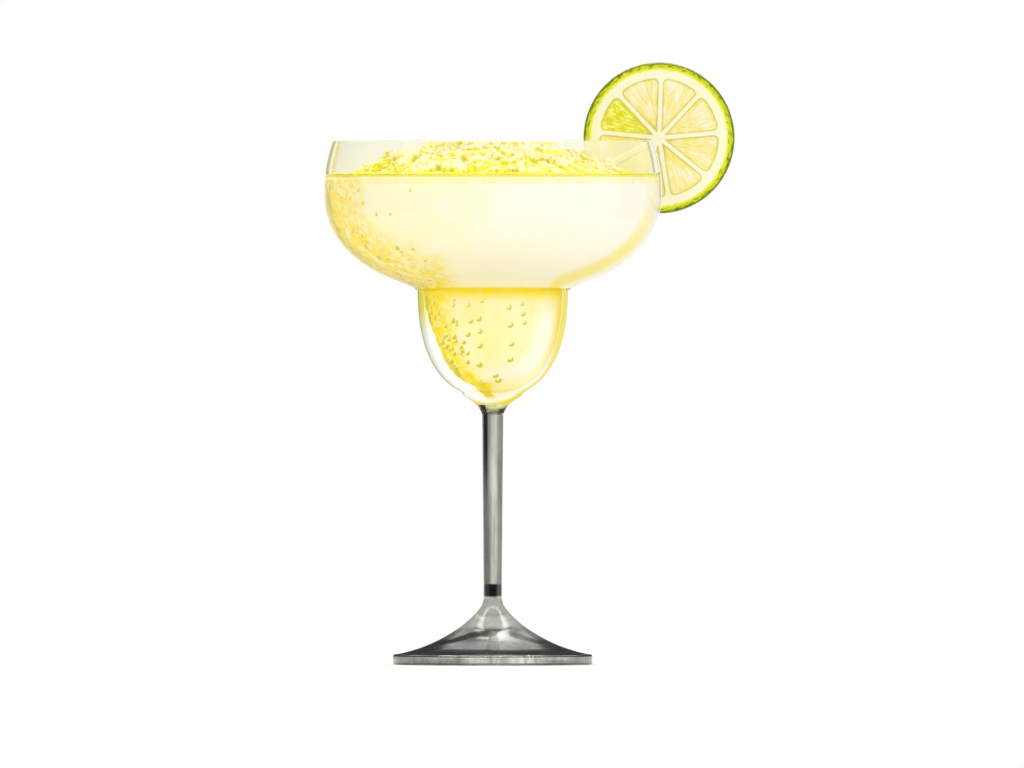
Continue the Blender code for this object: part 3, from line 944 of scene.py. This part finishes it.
heap_mesh = make_heap()
print("heap reaches", round(float(corners_of(heap_mesh)[:, 2].max()) / MM, 1), "mm")

# %% Finish of the crushed ice
HEAP_CREAM = srgb(252, 241, 200)
HEAP_PALE = srgb(250, 237, 154)
HEAP_WHITE = srgb(252, 244, 222)
# Yellow of the hollows, partly juice and partly painted shade.
HEAP_JUICE_AND_SHADE = (srgb(246, 232, 50), srgb(226, 218, 10))


def crushed_ice_finish(name, grain_size):
    """Creamy ice whose hollows show yellow, partly juice and partly painted shade, olive in the deepest
    hollows and yellower on the left as painted shade, with a few drops of deep olive zest oil.
    """
    paint = Paint(bpy.data.materials.new(name))
    hollow = paint.mark("hollow")
    wander = paint.noise(3.0 * MM, detail=4.0) - 0.5
    patches = paint.noise(9.0 * MM, detail=2.0)
    grain = paint.noise(grain_size, detail=4.0)
    juice = paint.mix(patches.between(0.40, 0.60), *HEAP_JUICE_AND_SHADE)
    # Painted shade: olive in the deepest hollows.
    juice = paint.mix((hollow + wander).between(0.45, 0.80) * 0.6, juice, OLIVE)
    ice = paint.mix(patches.between(0.35, 0.70), HEAP_CREAM, HEAP_PALE)
    ice = paint.mix(grain.between(0.45, 0.65) * 0.5, ice, HEAP_WHITE)
    # Painted shade: the heap turns yellower on its left part and in its hollows, where the yellow is partly
    # juice.
    slope = paint.across().between(-26.0, -46.0) * 0.25
    juice_and_shade = (hollow + slope + wander * 1.4).between(-0.24, 0.04)
    colour = paint.mix(juice_and_shade, ice, juice)
    specks = paint.cells(4.2 * MM).between(0.16, 0.08)
    colour = paint.mix(specks * 0.85, colour, OLIVE)
    soft = paint.shader(
        Base_Color=colour,
        Roughness=0.35 + grain * 0.3,
        IOR=SLUSH_IOR,
        Subsurface_Weight=0.15,
        Subsurface_Radius=(1.0, 0.9, 0.5),
        Subsurface_Scale=0.7 * MM,
        Normal=paint.bump(grain, 0.12 * MM, 0.5),
    )
    return paint.finish(soft)


place(heap_mesh, "lemon_slush", crushed_ice_finish("crushed_ice", 0.7 * MM), stands_for="slush")

# %% [markdown]
# Loose grains
#
# Real crushed ice sheds splinters. Some hundred lie loose on the heap: each is one small solid with eight
# corners, squeezed and turned at random, so that all together are cheap.

# %% Ice grains
GRAIN_COUNT = 260
GRAIN_HALF_SIZE = (0.4 * MM, 1.2 * MM)
GRAIN_SEED = 23
GRAIN_REACH = 0.90
GRAIN_SINK = 0.35

BOX_CORNERS = np.array([(x, y, z) for x in (-1, 1) for y in (-1, 1) for z in (-1, 1)], float)
BOX_FACES = np.array(((0, 1, 3, 2), (4, 6, 7, 5), (0, 4, 5, 1), (2, 3, 7, 6), (0, 2, 6, 4), (1, 5, 7, 3)))


def random_turns(draw, count):
    """One rotation matrix for each grain, from random unit quaternions."""
    q = draw.normal(size=(count, 4))
    w, x, y, z = (q / np.linalg.norm(q, axis=1, keepdims=True)).T
    rows = (
        (1 - 2 * (y * y + z * z), 2 * (x * y - z * w), 2 * (x * z + y * w)),
        (2 * (x * y + z * w), 1 - 2 * (x * x + z * z), 2 * (y * z - x * w)),
        (2 * (x * z - y * w), 2 * (y * z + x * w), 1 - 2 * (x * x + y * y)),
    )
    return np.moveaxis(np.array(rows), -1, 0)


def clear_of_wheel(x, y, margin):
    """True where a point of the heap isn't inside the wheel or right beside it."""
    beside = np.abs(y) > WHEEL_THICKNESS / 2 + margin
    return beside | (x < WHEEL_CENTRE[0] - WHEEL_RADIUS)


def make_grains():
    """Boxes with every corner pulled in by chance, set on the heap and sunk by a third."""
    draw = np.random.default_rng(GRAIN_SEED)
    radius = MOUND_RADIUS * GRAIN_REACH * np.sqrt(draw.random(GRAIN_COUNT * 2))
    angle = draw.uniform(0.0, 2.0 * math.pi, GRAIN_COUNT * 2)
    x, y = radius * np.cos(angle), radius * np.sin(angle)
    free = np.flatnonzero(clear_of_wheel(x, y, GRAIN_HALF_SIZE[1]))[:GRAIN_COUNT]
    x, y = x[free], y[free]
    half = draw.uniform(*GRAIN_HALF_SIZE, (len(free), 1, 3)) * (1.0, 0.8, 0.55)
    shape = BOX_CORNERS * half * draw.uniform(0.45, 1.0, (len(free), 8, 1))
    shape = np.einsum("nij,nkj->nki", random_turns(draw, len(free)), shape)
    ground = heap_height(x, y) + (1.0 - GRAIN_SINK) * half[:, 0, 2]
    top = ground + shape[..., 2].max(axis=1)
    ground = ground - np.maximum(top - (GLASS_HEIGHT - RIM_CLEARANCE), 0.0)
    shape = shape + np.stack((x, y, ground), axis=-1)[:, None, :]
    faces = (BOX_FACES[None] + 8 * np.arange(len(free))[:, None, None]).reshape(-1, 4)
    mesh = new_mesh("ice_grains", shape.reshape(-1, 3), faces)
    mesh.shade_flat()
    mark(mesh, "hollow", np.repeat(draw.uniform(-1.0, 0.25, len(free)), 8))
    return mesh


place(make_grains(), "lemon_slush", crushed_ice_finish("ice_grain", 0.5 * MM))

# %% [markdown]
# Air bubbles
#
# Trapped air sits between slush and glass. In the cup it rises in strings, and on one side it gathers in a
# crowd. Each bubble is a small ball half sunk in the drink's side. Its finish is bright in the middle and
# has a crescent of painted shade at the lower right, as light passing through a bubble would leave it; a
# number on every point describes the crescent.

# %% Bubbles against the wall
BUBBLE_STRINGS = (
    (-8.2, 104.0, 124.0, 5),
    (-4.2, 104.0, 126.0, 5),
    (6.0, 105.0, 123.5, 4),
    (10.7, 118.0, 124.0, 3),
    (-13.5, 108.0, 124.0, 4),
    (1.5, 99.0, 101.5, 2),
)
BUBBLE_RADIUS = (1.1 * MM, 1.6 * MM)
CROWD_RADIUS = (0.7 * MM, 1.4 * MM)
CROWD_COUNT = 150
CROWD_SHARE_IN_CUP = 0.45
CROWD_CUP_Z = (101.0, 130.0)
CROWD_BOWL_Z = (133.0, 167.0)
BUBBLE_SINK = 0.72
BUBBLE_SEED = 31
BALL_RINGS = 8
BALL_SIDES = 14


def string_places(draw):
    """Azimuth and height of the bubbles that rise in strings, in front and turned half round behind."""
    azimuths, heights = [], []
    for x, low, high, count in BUBBLE_STRINGS:
        z = (np.linspace(low, high, count) + draw.uniform(-1.2, 1.2, count)) * MM
        across = x * MM + draw.uniform(-0.6, 0.6, count) * MM
        near = -np.arccos(np.clip(across / slush_radius(z), -0.98, 0.98))
        azimuths += [near, near + math.pi]
        heights += [z, z]
    return np.concatenate(azimuths), np.concatenate(heights)


def crowd_places(draw):
    """Azimuth and height of the crowd on the left: dense at the outline and thinner towards the middle.

    In the cup it starts beside the clear band, which is given by its width there.
    """
    in_cup = draw.random(CROWD_COUNT) < CROWD_SHARE_IN_CUP
    cup_z = draw.uniform(*CROWD_CUP_Z, CROWD_COUNT)
    z = np.where(in_cup, cup_z, draw.uniform(*CROWD_BOWL_Z, CROWD_COUNT)) * MM
    inset = np.where(in_cup, 1.2 * MM + 3.0 * MM * smooth_step(z, 126.0 * MM, 108.0 * MM), 0.0)
    start = np.arccos(1.0 - np.minimum(inset / slush_radius(z), 1.0))
    reach = np.maximum(math.radians(62.0) - start, 0.2)
    side = draw.choice((-1.0, 1.0), CROWD_COUNT)
    return math.pi + side * (start + reach * draw.random(CROWD_COUNT) ** 1.4), z


def make_bubbles():
    """Balls about points on the drink's side: p = centre + r (sin t cos s, sin t sin s, cos t)."""
    draw = np.random.default_rng(BUBBLE_SEED)
    string_azimuth, string_z = string_places(draw)
    crowd_azimuth, crowd_z = crowd_places(draw)
    azimuth = np.concatenate((string_azimuth, crowd_azimuth))
    z = np.concatenate((string_z, crowd_z))
    size = np.concatenate((
        draw.uniform(*BUBBLE_RADIUS, len(string_z)),
        draw.uniform(*CROWD_RADIUS, len(crowd_z)),
    ))
    away = slush_radius(z) - BUBBLE_SINK * size
    outward = np.stack((np.cos(azimuth), np.sin(azimuth), np.zeros(len(z))), axis=-1)
    rightward = np.stack((-np.sin(azimuth), np.cos(azimuth), np.zeros(len(z))), axis=-1)
    centre = outward * away[:, None] + np.stack((0 * z, 0 * z, z), axis=-1)
    tilt, turn = np.meshgrid(
        np.linspace(0.0, math.pi, BALL_RINGS + 1)[1:-1],
        np.linspace(0.0, 2.0 * math.pi, BALL_SIDES, endpoint=False),
        indexing="ij",
    )
    ball = np.stack((np.sin(tilt) * np.cos(turn), np.sin(tilt) * np.sin(turn), np.cos(tilt)), axis=-1)
    ball = np.concatenate((ball.reshape(-1, 3), [(0.0, 0.0, 1.0), (0.0, 0.0, -1.0)]))
    rings = BALL_RINGS - 1
    ring = np.arange(BALL_SIDES)
    quads = ring_quads(rings, BALL_SIDES)[:, ::-1]
    caps = np.concatenate((
        fan(ring, rings * BALL_SIDES),
        fan(ring + (rings - 1) * BALL_SIDES, rings * BALL_SIDES + 1, flip=True),
    ))
    corners = centre[:, None, :] + ball[None] * size[:, None, None]
    first = len(ball) * np.arange(len(z))[:, None, None]
    mesh = new_mesh(
        "air_bubbles",
        corners.reshape(-1, 3),
        (quads[None] + first).reshape(-1, 4),
        (caps[None] + first).reshape(-1, 3),
    )
    # Painted shade: the crescent number grows towards each ball's right, its bottom and its rim.
    shade = rightward @ ball.T * 0.6 - ball[None, :, 2] * 0.5 + (1.0 - outward @ ball.T) * 1.5
    mark(mesh, "crescent", shade.ravel())
    return mesh


# %% Finish of the bubbles
# Painted shade of the bubbles' crescents, then their bright middles.
BUBBLE_CRESCENT_SHADE = (srgb(208, 196, 8), srgb(242, 220, 60))
BUBBLE_MIDDLE = (srgb(249, 240, 168), srgb(255, 242, 180))


def bubble_finish():
    """Bright in the middle, olive in the crescent of painted shade, and yellower in the bowl than in the
    cup.
    """
    paint = Paint(bpy.data.materials.new("air_bubble"))
    film = paint.noise(0.8 * MM)
    crescent = paint.mark("crescent").between(0.12, 0.40)
    in_bowl = paint.height().between(120.0, 130.0)
    outline = paint.mix(in_bowl, *BUBBLE_CRESCENT_SHADE)
    middle = paint.mix(in_bowl, *BUBBLE_MIDDLE)
    colour = paint.mix(crescent * 0.9, middle, outline)
    ball = paint.shader(Base_Color=colour, Roughness=0.45 + film * 0.1, IOR=MATT_IOR)
    return paint.finish(ball)


place(make_bubbles(), "lemon_slush", bubble_finish())

# %% [markdown]
# The lime wheel
#
# A slice across a lime shows nine segments of pulp between thin membranes, white pith round them and a
# green rind. The pulp lies a little lower than the pith, because its juice sacs shrink back from the cut,
# and each sac is a long drop that points to the core. The slice is one closed grid of rings: over the
# near face from its middle, round the rind and back over the far face. The same formulas give its relief
# and, once the slit for the glass wall is cut, the numbers that colour it.

# %% Shape of the slice
SLICE_SIDES = 420
FACE_RINGS = 66
RIND_RINGS = 8
SAC_LENGTH = 6.5 * MM
SACS_ROUND = 66
SAC_HEIGHT = 0.32 * MM
RIND_PIT_SIZE = 1.1 * MM
RIND_PIT_DEPTH = 0.10 * MM
TIP_CORNER = 0.3 * MM
TIP_SHARE = 0.11
TURN_SEAM = math.radians(225.0)


def segment_depth(radius, angle):
    """(distance into the pulp, negative outside it, angle inside the segment, number of the segment)."""
    ends = np.append(MEMBRANE_ANGLES, MEMBRANE_ANGLES[0] + 2.0 * math.pi)
    turned_angle = np.mod(angle - MEMBRANE_ANGLES[0], 2.0 * math.pi) + MEMBRANE_ANGLES[0]
    number = np.clip(np.searchsorted(ends, turned_angle, side="right") - 1, 0, len(MEMBRANE_ANGLES) - 1)
    first, last = ends[number], ends[number + 1]
    half_wall = MEMBRANE_THICKNESS / 2
    corner = np.clip(TIP_SHARE * radius, TIP_CORNER, PULP_CORNER)
    sides = (
        radius * np.sin(np.minimum(turned_angle - first, math.pi / 2)) - half_wall,
        radius * np.sin(np.minimum(last - turned_angle, math.pi / 2)) - half_wall,
        PULP_RADIUS - radius,
    )
    short = sum(np.maximum(corner - side, 0.0) ** 2 for side in sides)
    return corner - np.sqrt(short), turned_angle - first, number


def juice_sacs(radius, angle):
    """(height from 0 to 1, random number) of the sac at each point: cells that are long along the radius.

    The angle is counted inside the segment, so that each segment has its own sacs.
    """
    _, inside, number = segment_depth(radius, angle)
    along = radius / SAC_LENGTH + 7.0 * number
    around = inside * SACS_ROUND / (2.0 * math.pi)
    _, _, _, gap, level, _ = cell_pattern(along * MM, around * MM, 1.0 * MM, 17)
    return smooth_step(gap, 0.0, 0.35), level


def inside_glass(x, y, z):
    """True for points of the slice that hang inside the bowl. All three are measured from its middle."""
    wall = float(inner_radius(np.array(BOWL_WIDEST_Z))) + 0.6 * MM
    return (np.hypot(x + WHEEL_CENTRE[0], y) < wall) & (z + WHEEL_CENTRE[2] < GLASS_HEIGHT)


def slice_relief(radius, angle):
    """How far the surface lies below the flat cut face: pulp sunk by its recess, sacs swelling back up.

    Inside the bowl the sacs are soaked flat.
    """
    depth, _, _ = segment_depth(radius, angle)
    sunk = smooth_step(depth, 0.0, 0.5 * MM)
    sac, level = juice_sacs(radius, angle)
    dry = ~inside_glass(radius * np.cos(angle), 0.0, radius * np.sin(angle))
    return sunk * (PULP_RECESS - dry * SAC_HEIGHT * sac * (0.5 + 0.5 * level)) + 0.05 * MM


def make_slice():
    """Rings from the near face's middle, round the rind and to the far face's middle."""
    half = WHEEL_THICKNESS / 2
    angle = np.linspace(0.0, 2.0 * math.pi, SLICE_SIDES, endpoint=False)
    face = np.linspace(0.25 * MM, WHEEL_RADIUS - WHEEL_EDGE_ROUND, FACE_RINGS)
    edge_r, edge_y = arc(WHEEL_RADIUS - WHEEL_EDGE_ROUND, 0.0, WHEEL_EDGE_ROUND, 80.0, 10.0, 5)
    edge_y = edge_y + half - WHEEL_EDGE_ROUND
    rind_y = np.linspace(edge_y[-1], -edge_y[-1], RIND_RINGS + 2)[1:-1]
    radius = np.concatenate((face, edge_r, np.full(RIND_RINGS, WHEEL_RADIUS), edge_r[::-1], face[::-1]))
    flat = np.full(FACE_RINGS, half)
    forward = np.concatenate((flat, edge_y, rind_y, -edge_y[::-1], -flat))
    radius, around = np.meshgrid(radius, angle, indexing="ij")
    forward = np.repeat(forward[:, None], SLICE_SIDES, axis=1)
    on_face = np.abs(forward) > half - 0.01 * MM
    forward = np.where(on_face, np.sign(forward) * (half - slice_relief(radius, around)), forward)
    _, _, pit, _, _, _ = cell_pattern(around * WHEEL_RADIUS, forward, RIND_PIT_SIZE, 29)
    rind = ~on_face & (radius > WHEEL_RADIUS - 0.01 * MM)
    radius = radius - np.where(rind, RIND_PIT_DEPTH * smooth_step(pit, 0.45, 0.0), 0.0)
    corners = np.stack((radius * np.cos(around), -forward, radius * np.sin(around)), axis=-1).reshape(-1, 3)
    poles = np.array(((0.0, -half, 0.0), (0.0, half, 0.0)))
    corners = np.concatenate((corners, poles)) + WHEEL_CENTRE
    rows = 2 * FACE_RINGS + 2 * len(edge_r) + RIND_RINGS
    ring = np.arange(SLICE_SIDES)
    near_fan = fan(ring, rows * SLICE_SIDES)
    far_fan = fan(ring + (rows - 1) * SLICE_SIDES, rows * SLICE_SIDES + 1, flip=True)
    quads = ring_quads(rows, SLICE_SIDES)[:, ::-1]
    return new_mesh("lime_slice", corners, quads, near_fan, far_fan)


def wall_cutter():
    """The bowl's wall grown by the gap, from below the slice up to just over the rim, as a closed ring."""
    low = WHEEL_CENTRE[2] - WHEEL_RADIUS - 6.0 * MM
    z = np.linspace(low, GLASS_HEIGHT + GAP, 60)
    r = np.concatenate((outer_radius(z) + GAP, inner_radius(z[::-1], GAP)))
    z = np.concatenate((z, z[::-1]))
    angle = np.linspace(0.0, 2.0 * math.pi, 180, endpoint=False)
    x, y = r[:, None] * np.cos(angle), r[:, None] * np.sin(angle)
    grid = np.stack((x, y, z[:, None] + 0 * angle), axis=-1)
    index = np.arange(len(z) * len(angle)).reshape(len(z), -1)
    closed = np.concatenate((index, index[:1]))
    quads = np.stack((
        closed[:-1], np.roll(closed[:-1], -1, axis=1), np.roll(closed[1:], -1, axis=1), closed[1:],
    ), axis=-1)
    return new_mesh("wall_cutter", grid.reshape(-1, 3), quads.reshape(-1, 4))


def cut_out(mesh, cutter_mesh):
    """The mesh with the cutter's shape taken out of it. Both helpers and their meshes are removed again."""
    scene_objects = bpy.context.scene.collection.objects
    target = bpy.data.objects.new("cut_target", mesh)
    cutter = bpy.data.objects.new("cut_tool", cutter_mesh)
    scene_objects.link(target)
    scene_objects.link(cutter)
    modifier = target.modifiers.new("slit", "BOOLEAN")
    modifier.operation = "DIFFERENCE"
    modifier.solver = "EXACT"
    modifier.object = cutter
    ready = target.evaluated_get(bpy.context.evaluated_depsgraph_get())
    result = bpy.data.meshes.new_from_object(ready)
    bpy.data.objects.remove(target)
    bpy.data.objects.remove(cutter)
    bpy.data.meshes.remove(cutter_mesh)
    name = mesh.name
    bpy.data.meshes.remove(mesh)
    result.name = name
    return result


slice_mesh = cut_out(make_slice(), wall_cutter())
slice_mesh.set_sharp_from_angle(angle=math.radians(50.0))

# %% Numbers that colour the slice
slice_corners = corners_of(slice_mesh) - WHEEL_CENTRE
slice_radius = np.hypot(slice_corners[:, 0], slice_corners[:, 2])
slice_angle = np.mod(np.arctan2(slice_corners[:, 2], slice_corners[:, 0]), 2.0 * math.pi)
pulp_depth, _, segment_number = segment_depth(slice_radius, slice_angle)
sac_height, sac_shade = juice_sacs(slice_radius, slice_angle)

mark(slice_mesh, "from_core", slice_radius / MM)
mark(slice_mesh, "pulp_depth", pulp_depth / MM)
mark(slice_mesh, "sac", sac_height)
mark(slice_mesh, "sac_shade", sac_shade)
mark(slice_mesh, "segment", segment_number)
mark(slice_mesh, "washed", inside_glass(*slice_corners.T))
mark(slice_mesh, "turn", np.mod(slice_angle - TURN_SEAM, 2.0 * math.pi))

# %% Finish of the slice
RIND = srgb(212, 220, 22)
RIND_DARK = srgb(100, 122, 0)
RIND_LIGHT = srgb(242, 242, 64)
PITH = srgb(255, 252, 222)
PULP = srgb(255, 248, 220)
PULP_RICH = srgb(254, 240, 166)
PULP_LINE = srgb(206, 196, 24)
PULP_FLECK = srgb(238, 206, 110)
GREEN_PULP = (srgb(254, 251, 140), srgb(228, 226, 8))
WASHED = (srgb(254, 253, 244), srgb(254, 250, 218))
LIME_IOR = 1.36


def lime_finish():
    """Rind with oil glands, pale pith, and pale juice sacs with yellow gaps and an olive outline."""
    paint = Paint(bpy.data.materials.new("lime_flesh"))
    from_core = paint.mark("from_core")
    depth = paint.mark("pulp_depth")
    sac = paint.mark("sac")
    shade = paint.mark("sac_shade")
    turn = paint.mark("turn")
    fibre = paint.noise(1.4 * MM, detail=4.0)
    patches = paint.noise(5.0 * MM, detail=2.0)
    glands = paint.cells(0.9 * MM)

    def polar_noise(around, outward):
        """Noise over the wheel's angle and radius, so its specks can be long either way."""
        where = paint.node("ShaderNodeCombineXYZ", {}, {0: turn * around, 1: from_core * outward, 2: 0.0})
        values = {"Vector": where, "Scale": 1.0, "Detail": 4.0, "Roughness": 0.6}
        return paint.node("ShaderNodeTexNoise", {}, values)

    streaks = polar_noise(20.0, 0.35)
    pulp = paint.mix((shade * 0.3 + streaks).between(0.50, 0.80), PULP, PULP_RICH)
    pulp = paint.mix(sac.between(0.60, 0.0) * 0.35, pulp, YELLOW)
    pulp = paint.mix((fibre * 0.5 + streaks * 0.5).between(0.58, 0.66) * 0.5, pulp, PULP_FLECK)
    pulp = paint.mix(depth.between(2.4, 0.4) * patches.between(0.35, 0.60) * 0.6, pulp, YELLOW)
    green = paint.mark("segment").window(2.4, 2.6, 3.4, 3.6)
    pulp = paint.mix(green, pulp, paint.mix(streaks.between(0.60, 0.44), *GREEN_PULP))
    pith = paint.mix(fibre.between(0.45, 0.70) * 0.6, PITH, PALE)
    flesh = paint.mix(depth.between(0.0, 0.35), pith, pulp)
    line = depth.window(-0.25, 0.10, 0.25, 0.60)
    flesh = paint.mix(line * (0.40 + patches * 0.6), flesh, PULP_LINE)

    strokes = polar_noise(11.0, 1.6)
    rind = paint.mix(from_core.between(23.9, 24.6), RIND_LIGHT, RIND)
    rind = paint.mix(strokes.between(0.40, 0.34) * 0.8, rind, RIND_LIGHT)
    flecks = (strokes + (from_core - 25.0) * 0.08).between(0.50, 0.60)
    rind = paint.mix(flecks * 0.9, rind, RIND_DARK)
    rind = paint.mix(from_core.between(25.2, 25.7) * 0.85, rind, RIND_DARK)
    edge = (from_core + (fibre - 0.5) * 0.5).between(23.2, 23.8)
    colour = paint.mix(edge, flesh, rind)
    washed = paint.mix(patches.between(0.40, 0.60), *WASHED)
    colour = paint.mix(paint.mark("washed") * 0.97, colour, washed)
    soft = paint.shader(
        Base_Color=colour,
        Roughness=0.45 - edge * 0.2 + fibre * 0.15,
        IOR=LIME_IOR,
        Subsurface_Weight=0.15,
        Subsurface_Radius=(1.0, 0.9, 0.4),
        Subsurface_Scale=0.8 * MM,
        Normal=paint.bump(fibre + glands * 0.4, 0.12 * MM, 0.4),
    )
    return paint.finish(soft)


place(slice_mesh, "lime", lime_finish(), stands_for="lime_wheel")

# %% [markdown]
# Studio
#
# The drink stands on a plain white floor before a plain white wall, lit softly from all round. What the
# glass mirrors and bends is a grey studio with one bright screen behind and one soft box at the right,
# which draw the light and dark strips along the stem.

# %% Floor
FLOOR_RADIUS = 0.45
FLOOR_SIDES = 96
FLOOR_WHITE = (srgb(250, 250, 249), srgb(254, 254, 253))


def floor_finish():
    """White paint with the faintest clouds in it."""
    paint = Paint(bpy.data.materials.new("white_floor"))
    dust = paint.noise(30.0 * MM)
    colour = paint.mix(dust.between(0.3, 0.7), *FLOOR_WHITE)
    return paint.finish(paint.shader(Base_Color=colour, Roughness=0.8))


floor_angle = np.linspace(0.0, 2.0 * math.pi, FLOOR_SIDES, endpoint=False)
floor_ring = np.stack((np.cos(floor_angle), np.sin(floor_angle), 0 * floor_angle), axis=-1) * FLOOR_RADIUS
floor_corners = np.concatenate((floor_ring, [(0.0, 0.0, 0.0)])) - (0.0, 0.0, 0.05 * MM)
floor_mesh = new_mesh("floor", floor_corners, fan(np.arange(FLOOR_SIDES), FLOOR_SIDES))
floor_mesh.materials.append(floor_finish())
floor = bpy.data.objects.new("floor", floor_mesh)
bpy.context.scene.collection.objects.link(floor)

# %% World
DAYLIGHT = srgb(255, 254, 251)
DAYLIGHT_STRENGTH = 0.93


def azimuth_band(angle, start, end, soft):
    """1 between two azimuths in degrees and 0 elsewhere, with soft ends."""
    return angle.window(start - soft, start + soft, end - soft, end + soft)


def make_world():
    """White to the camera, soft light to everything, and a grey studio to what glass mirrors or bends."""
    world = bpy.data.worlds.new("studio")
    bpy.context.scene.world = world
    paint = Paint(world)
    direction = paint.node("ShaderNodeTexCoord", {}, {}, output=0)
    split = paint.node("ShaderNodeSeparateXYZ", {}, {0: direction})
    x, y, z = (Wire(paint, split.socket.node.outputs[i]) for i in range(3))
    azimuth = x.maths("ARCTAN2", x, y) * (180.0 / math.pi)
    upward = x.maths("ARCSINE", z, 0.0) * (180.0 / math.pi)

    screen = azimuth.between(-30.0, -8.0) * azimuth.between(22.0, -6.0)
    shade = azimuth_band(azimuth, 30.0, 74.0, 6.0)
    seen = (0.30 + screen * 0.75 - shade * 0.08) * (1.0 - upward.between(18.0, 50.0) * 0.7)
    seen = seen.most(azimuth_band(azimuth, -88.0, 88.0, 8.0) * -0.85 + 0.85)
    bent = paint.mix(seen.most(azimuth_band(azimuth, -5.0, 5.0, 2.0)), BLACK, CLEAR)
    wall = azimuth_band(azimuth, -62.0, 62.0, 12.0)
    strip = upward.window(3.0, 6.0, 26.0, 34.0)
    box = azimuth_band(azimuth, 82.0, 112.0, 6.0) * upward.window(-22.0, -8.0, 48.0, 62.0)
    mirrored = (0.22 + wall * 0.75) * (1.0 - strip * 0.95) + box * 1.6 + upward.between(52.0, 62.0) * 11.0

    def background(colour, strength):
        return paint.node("ShaderNodeBackground", {}, {"Color": colour, "Strength": strength})

    def ray(kind):
        path = paint.node("ShaderNodeLightPath", {}, {})
        return Wire(paint, path.socket.node.outputs[kind])

    direct = ray("Diffuse Depth").between(0.6, 0.4)
    light = background(DAYLIGHT, DAYLIGHT_STRENGTH)
    light = paint.blend(ray("Is Glossy Ray") * direct, light, background(CLEAR, mirrored))
    light = paint.blend(ray("Is Transmission Ray") * direct, light, background(bent, 1.0))
    light = paint.blend(ray("Is Camera Ray"), light, background(CLEAR, 1.0))
    paint.finish(light, "ShaderNodeOutputWorld")


make_world()

# %% Lamps
TARGET = Vector((0.0, 0.0, 0.13))


def soft_box(name, azimuth, elevation, distance, size, watts):
    """A square lamp that faces the drink. Azimuth 0 is behind the camera and grows to the right."""
    lamp = bpy.data.lights.new(name, "AREA")
    lamp.shape = "SQUARE"
    lamp.size = size
    lamp.energy = watts
    turn, rise = math.radians(azimuth), math.radians(elevation)
    toward = Vector((math.sin(turn) * math.cos(rise), -math.cos(turn) * math.cos(rise), math.sin(rise)))
    holder = bpy.data.objects.new(name, lamp)
    holder.location = TARGET + toward * distance
    holder.rotation_euler = toward.to_track_quat("Z", "Y").to_euler()
    bpy.context.scene.collection.objects.link(holder)


soft_box("key_light", 40.0, 28.0, 1.6, 0.8, 2.0)
soft_box("fill_light", -55.0, 15.0, 1.8, 0.9, 1.5)
soft_box("top_light", 0.0, 82.0, 1.5, 0.8, 2.0)

# %% [markdown]
# Camera
#
# The drink is drawn level and without perspective: rim, level and foot all show as straight lines. So the
# camera stands twelve metres off, at the height of the bowl, behind a very long lens.

# %% Camera
CAMERA_X = 6.66 * MM
CAMERA_DISTANCE = 12.0
CAMERA_Z = 0.135
AIM_Z = 0.097
LENS = 1220.0

camera_data = bpy.data.cameras.new("camera")
camera_data.lens = LENS
camera_data.sensor_width = 36.0
camera = bpy.data.objects.new("camera", camera_data)
bpy.context.scene.collection.objects.link(camera)
camera.location = (CAMERA_X, -CAMERA_DISTANCE, CAMERA_Z)
view_line = Vector((CAMERA_X, 0.0, AIM_Z)) - camera.location
camera.rotation_euler = view_line.to_track_quat("-Z", "Y").to_euler()
bpy.context.scene.camera = camera
bpy.context.scene.view_settings.view_transform = "Standard"
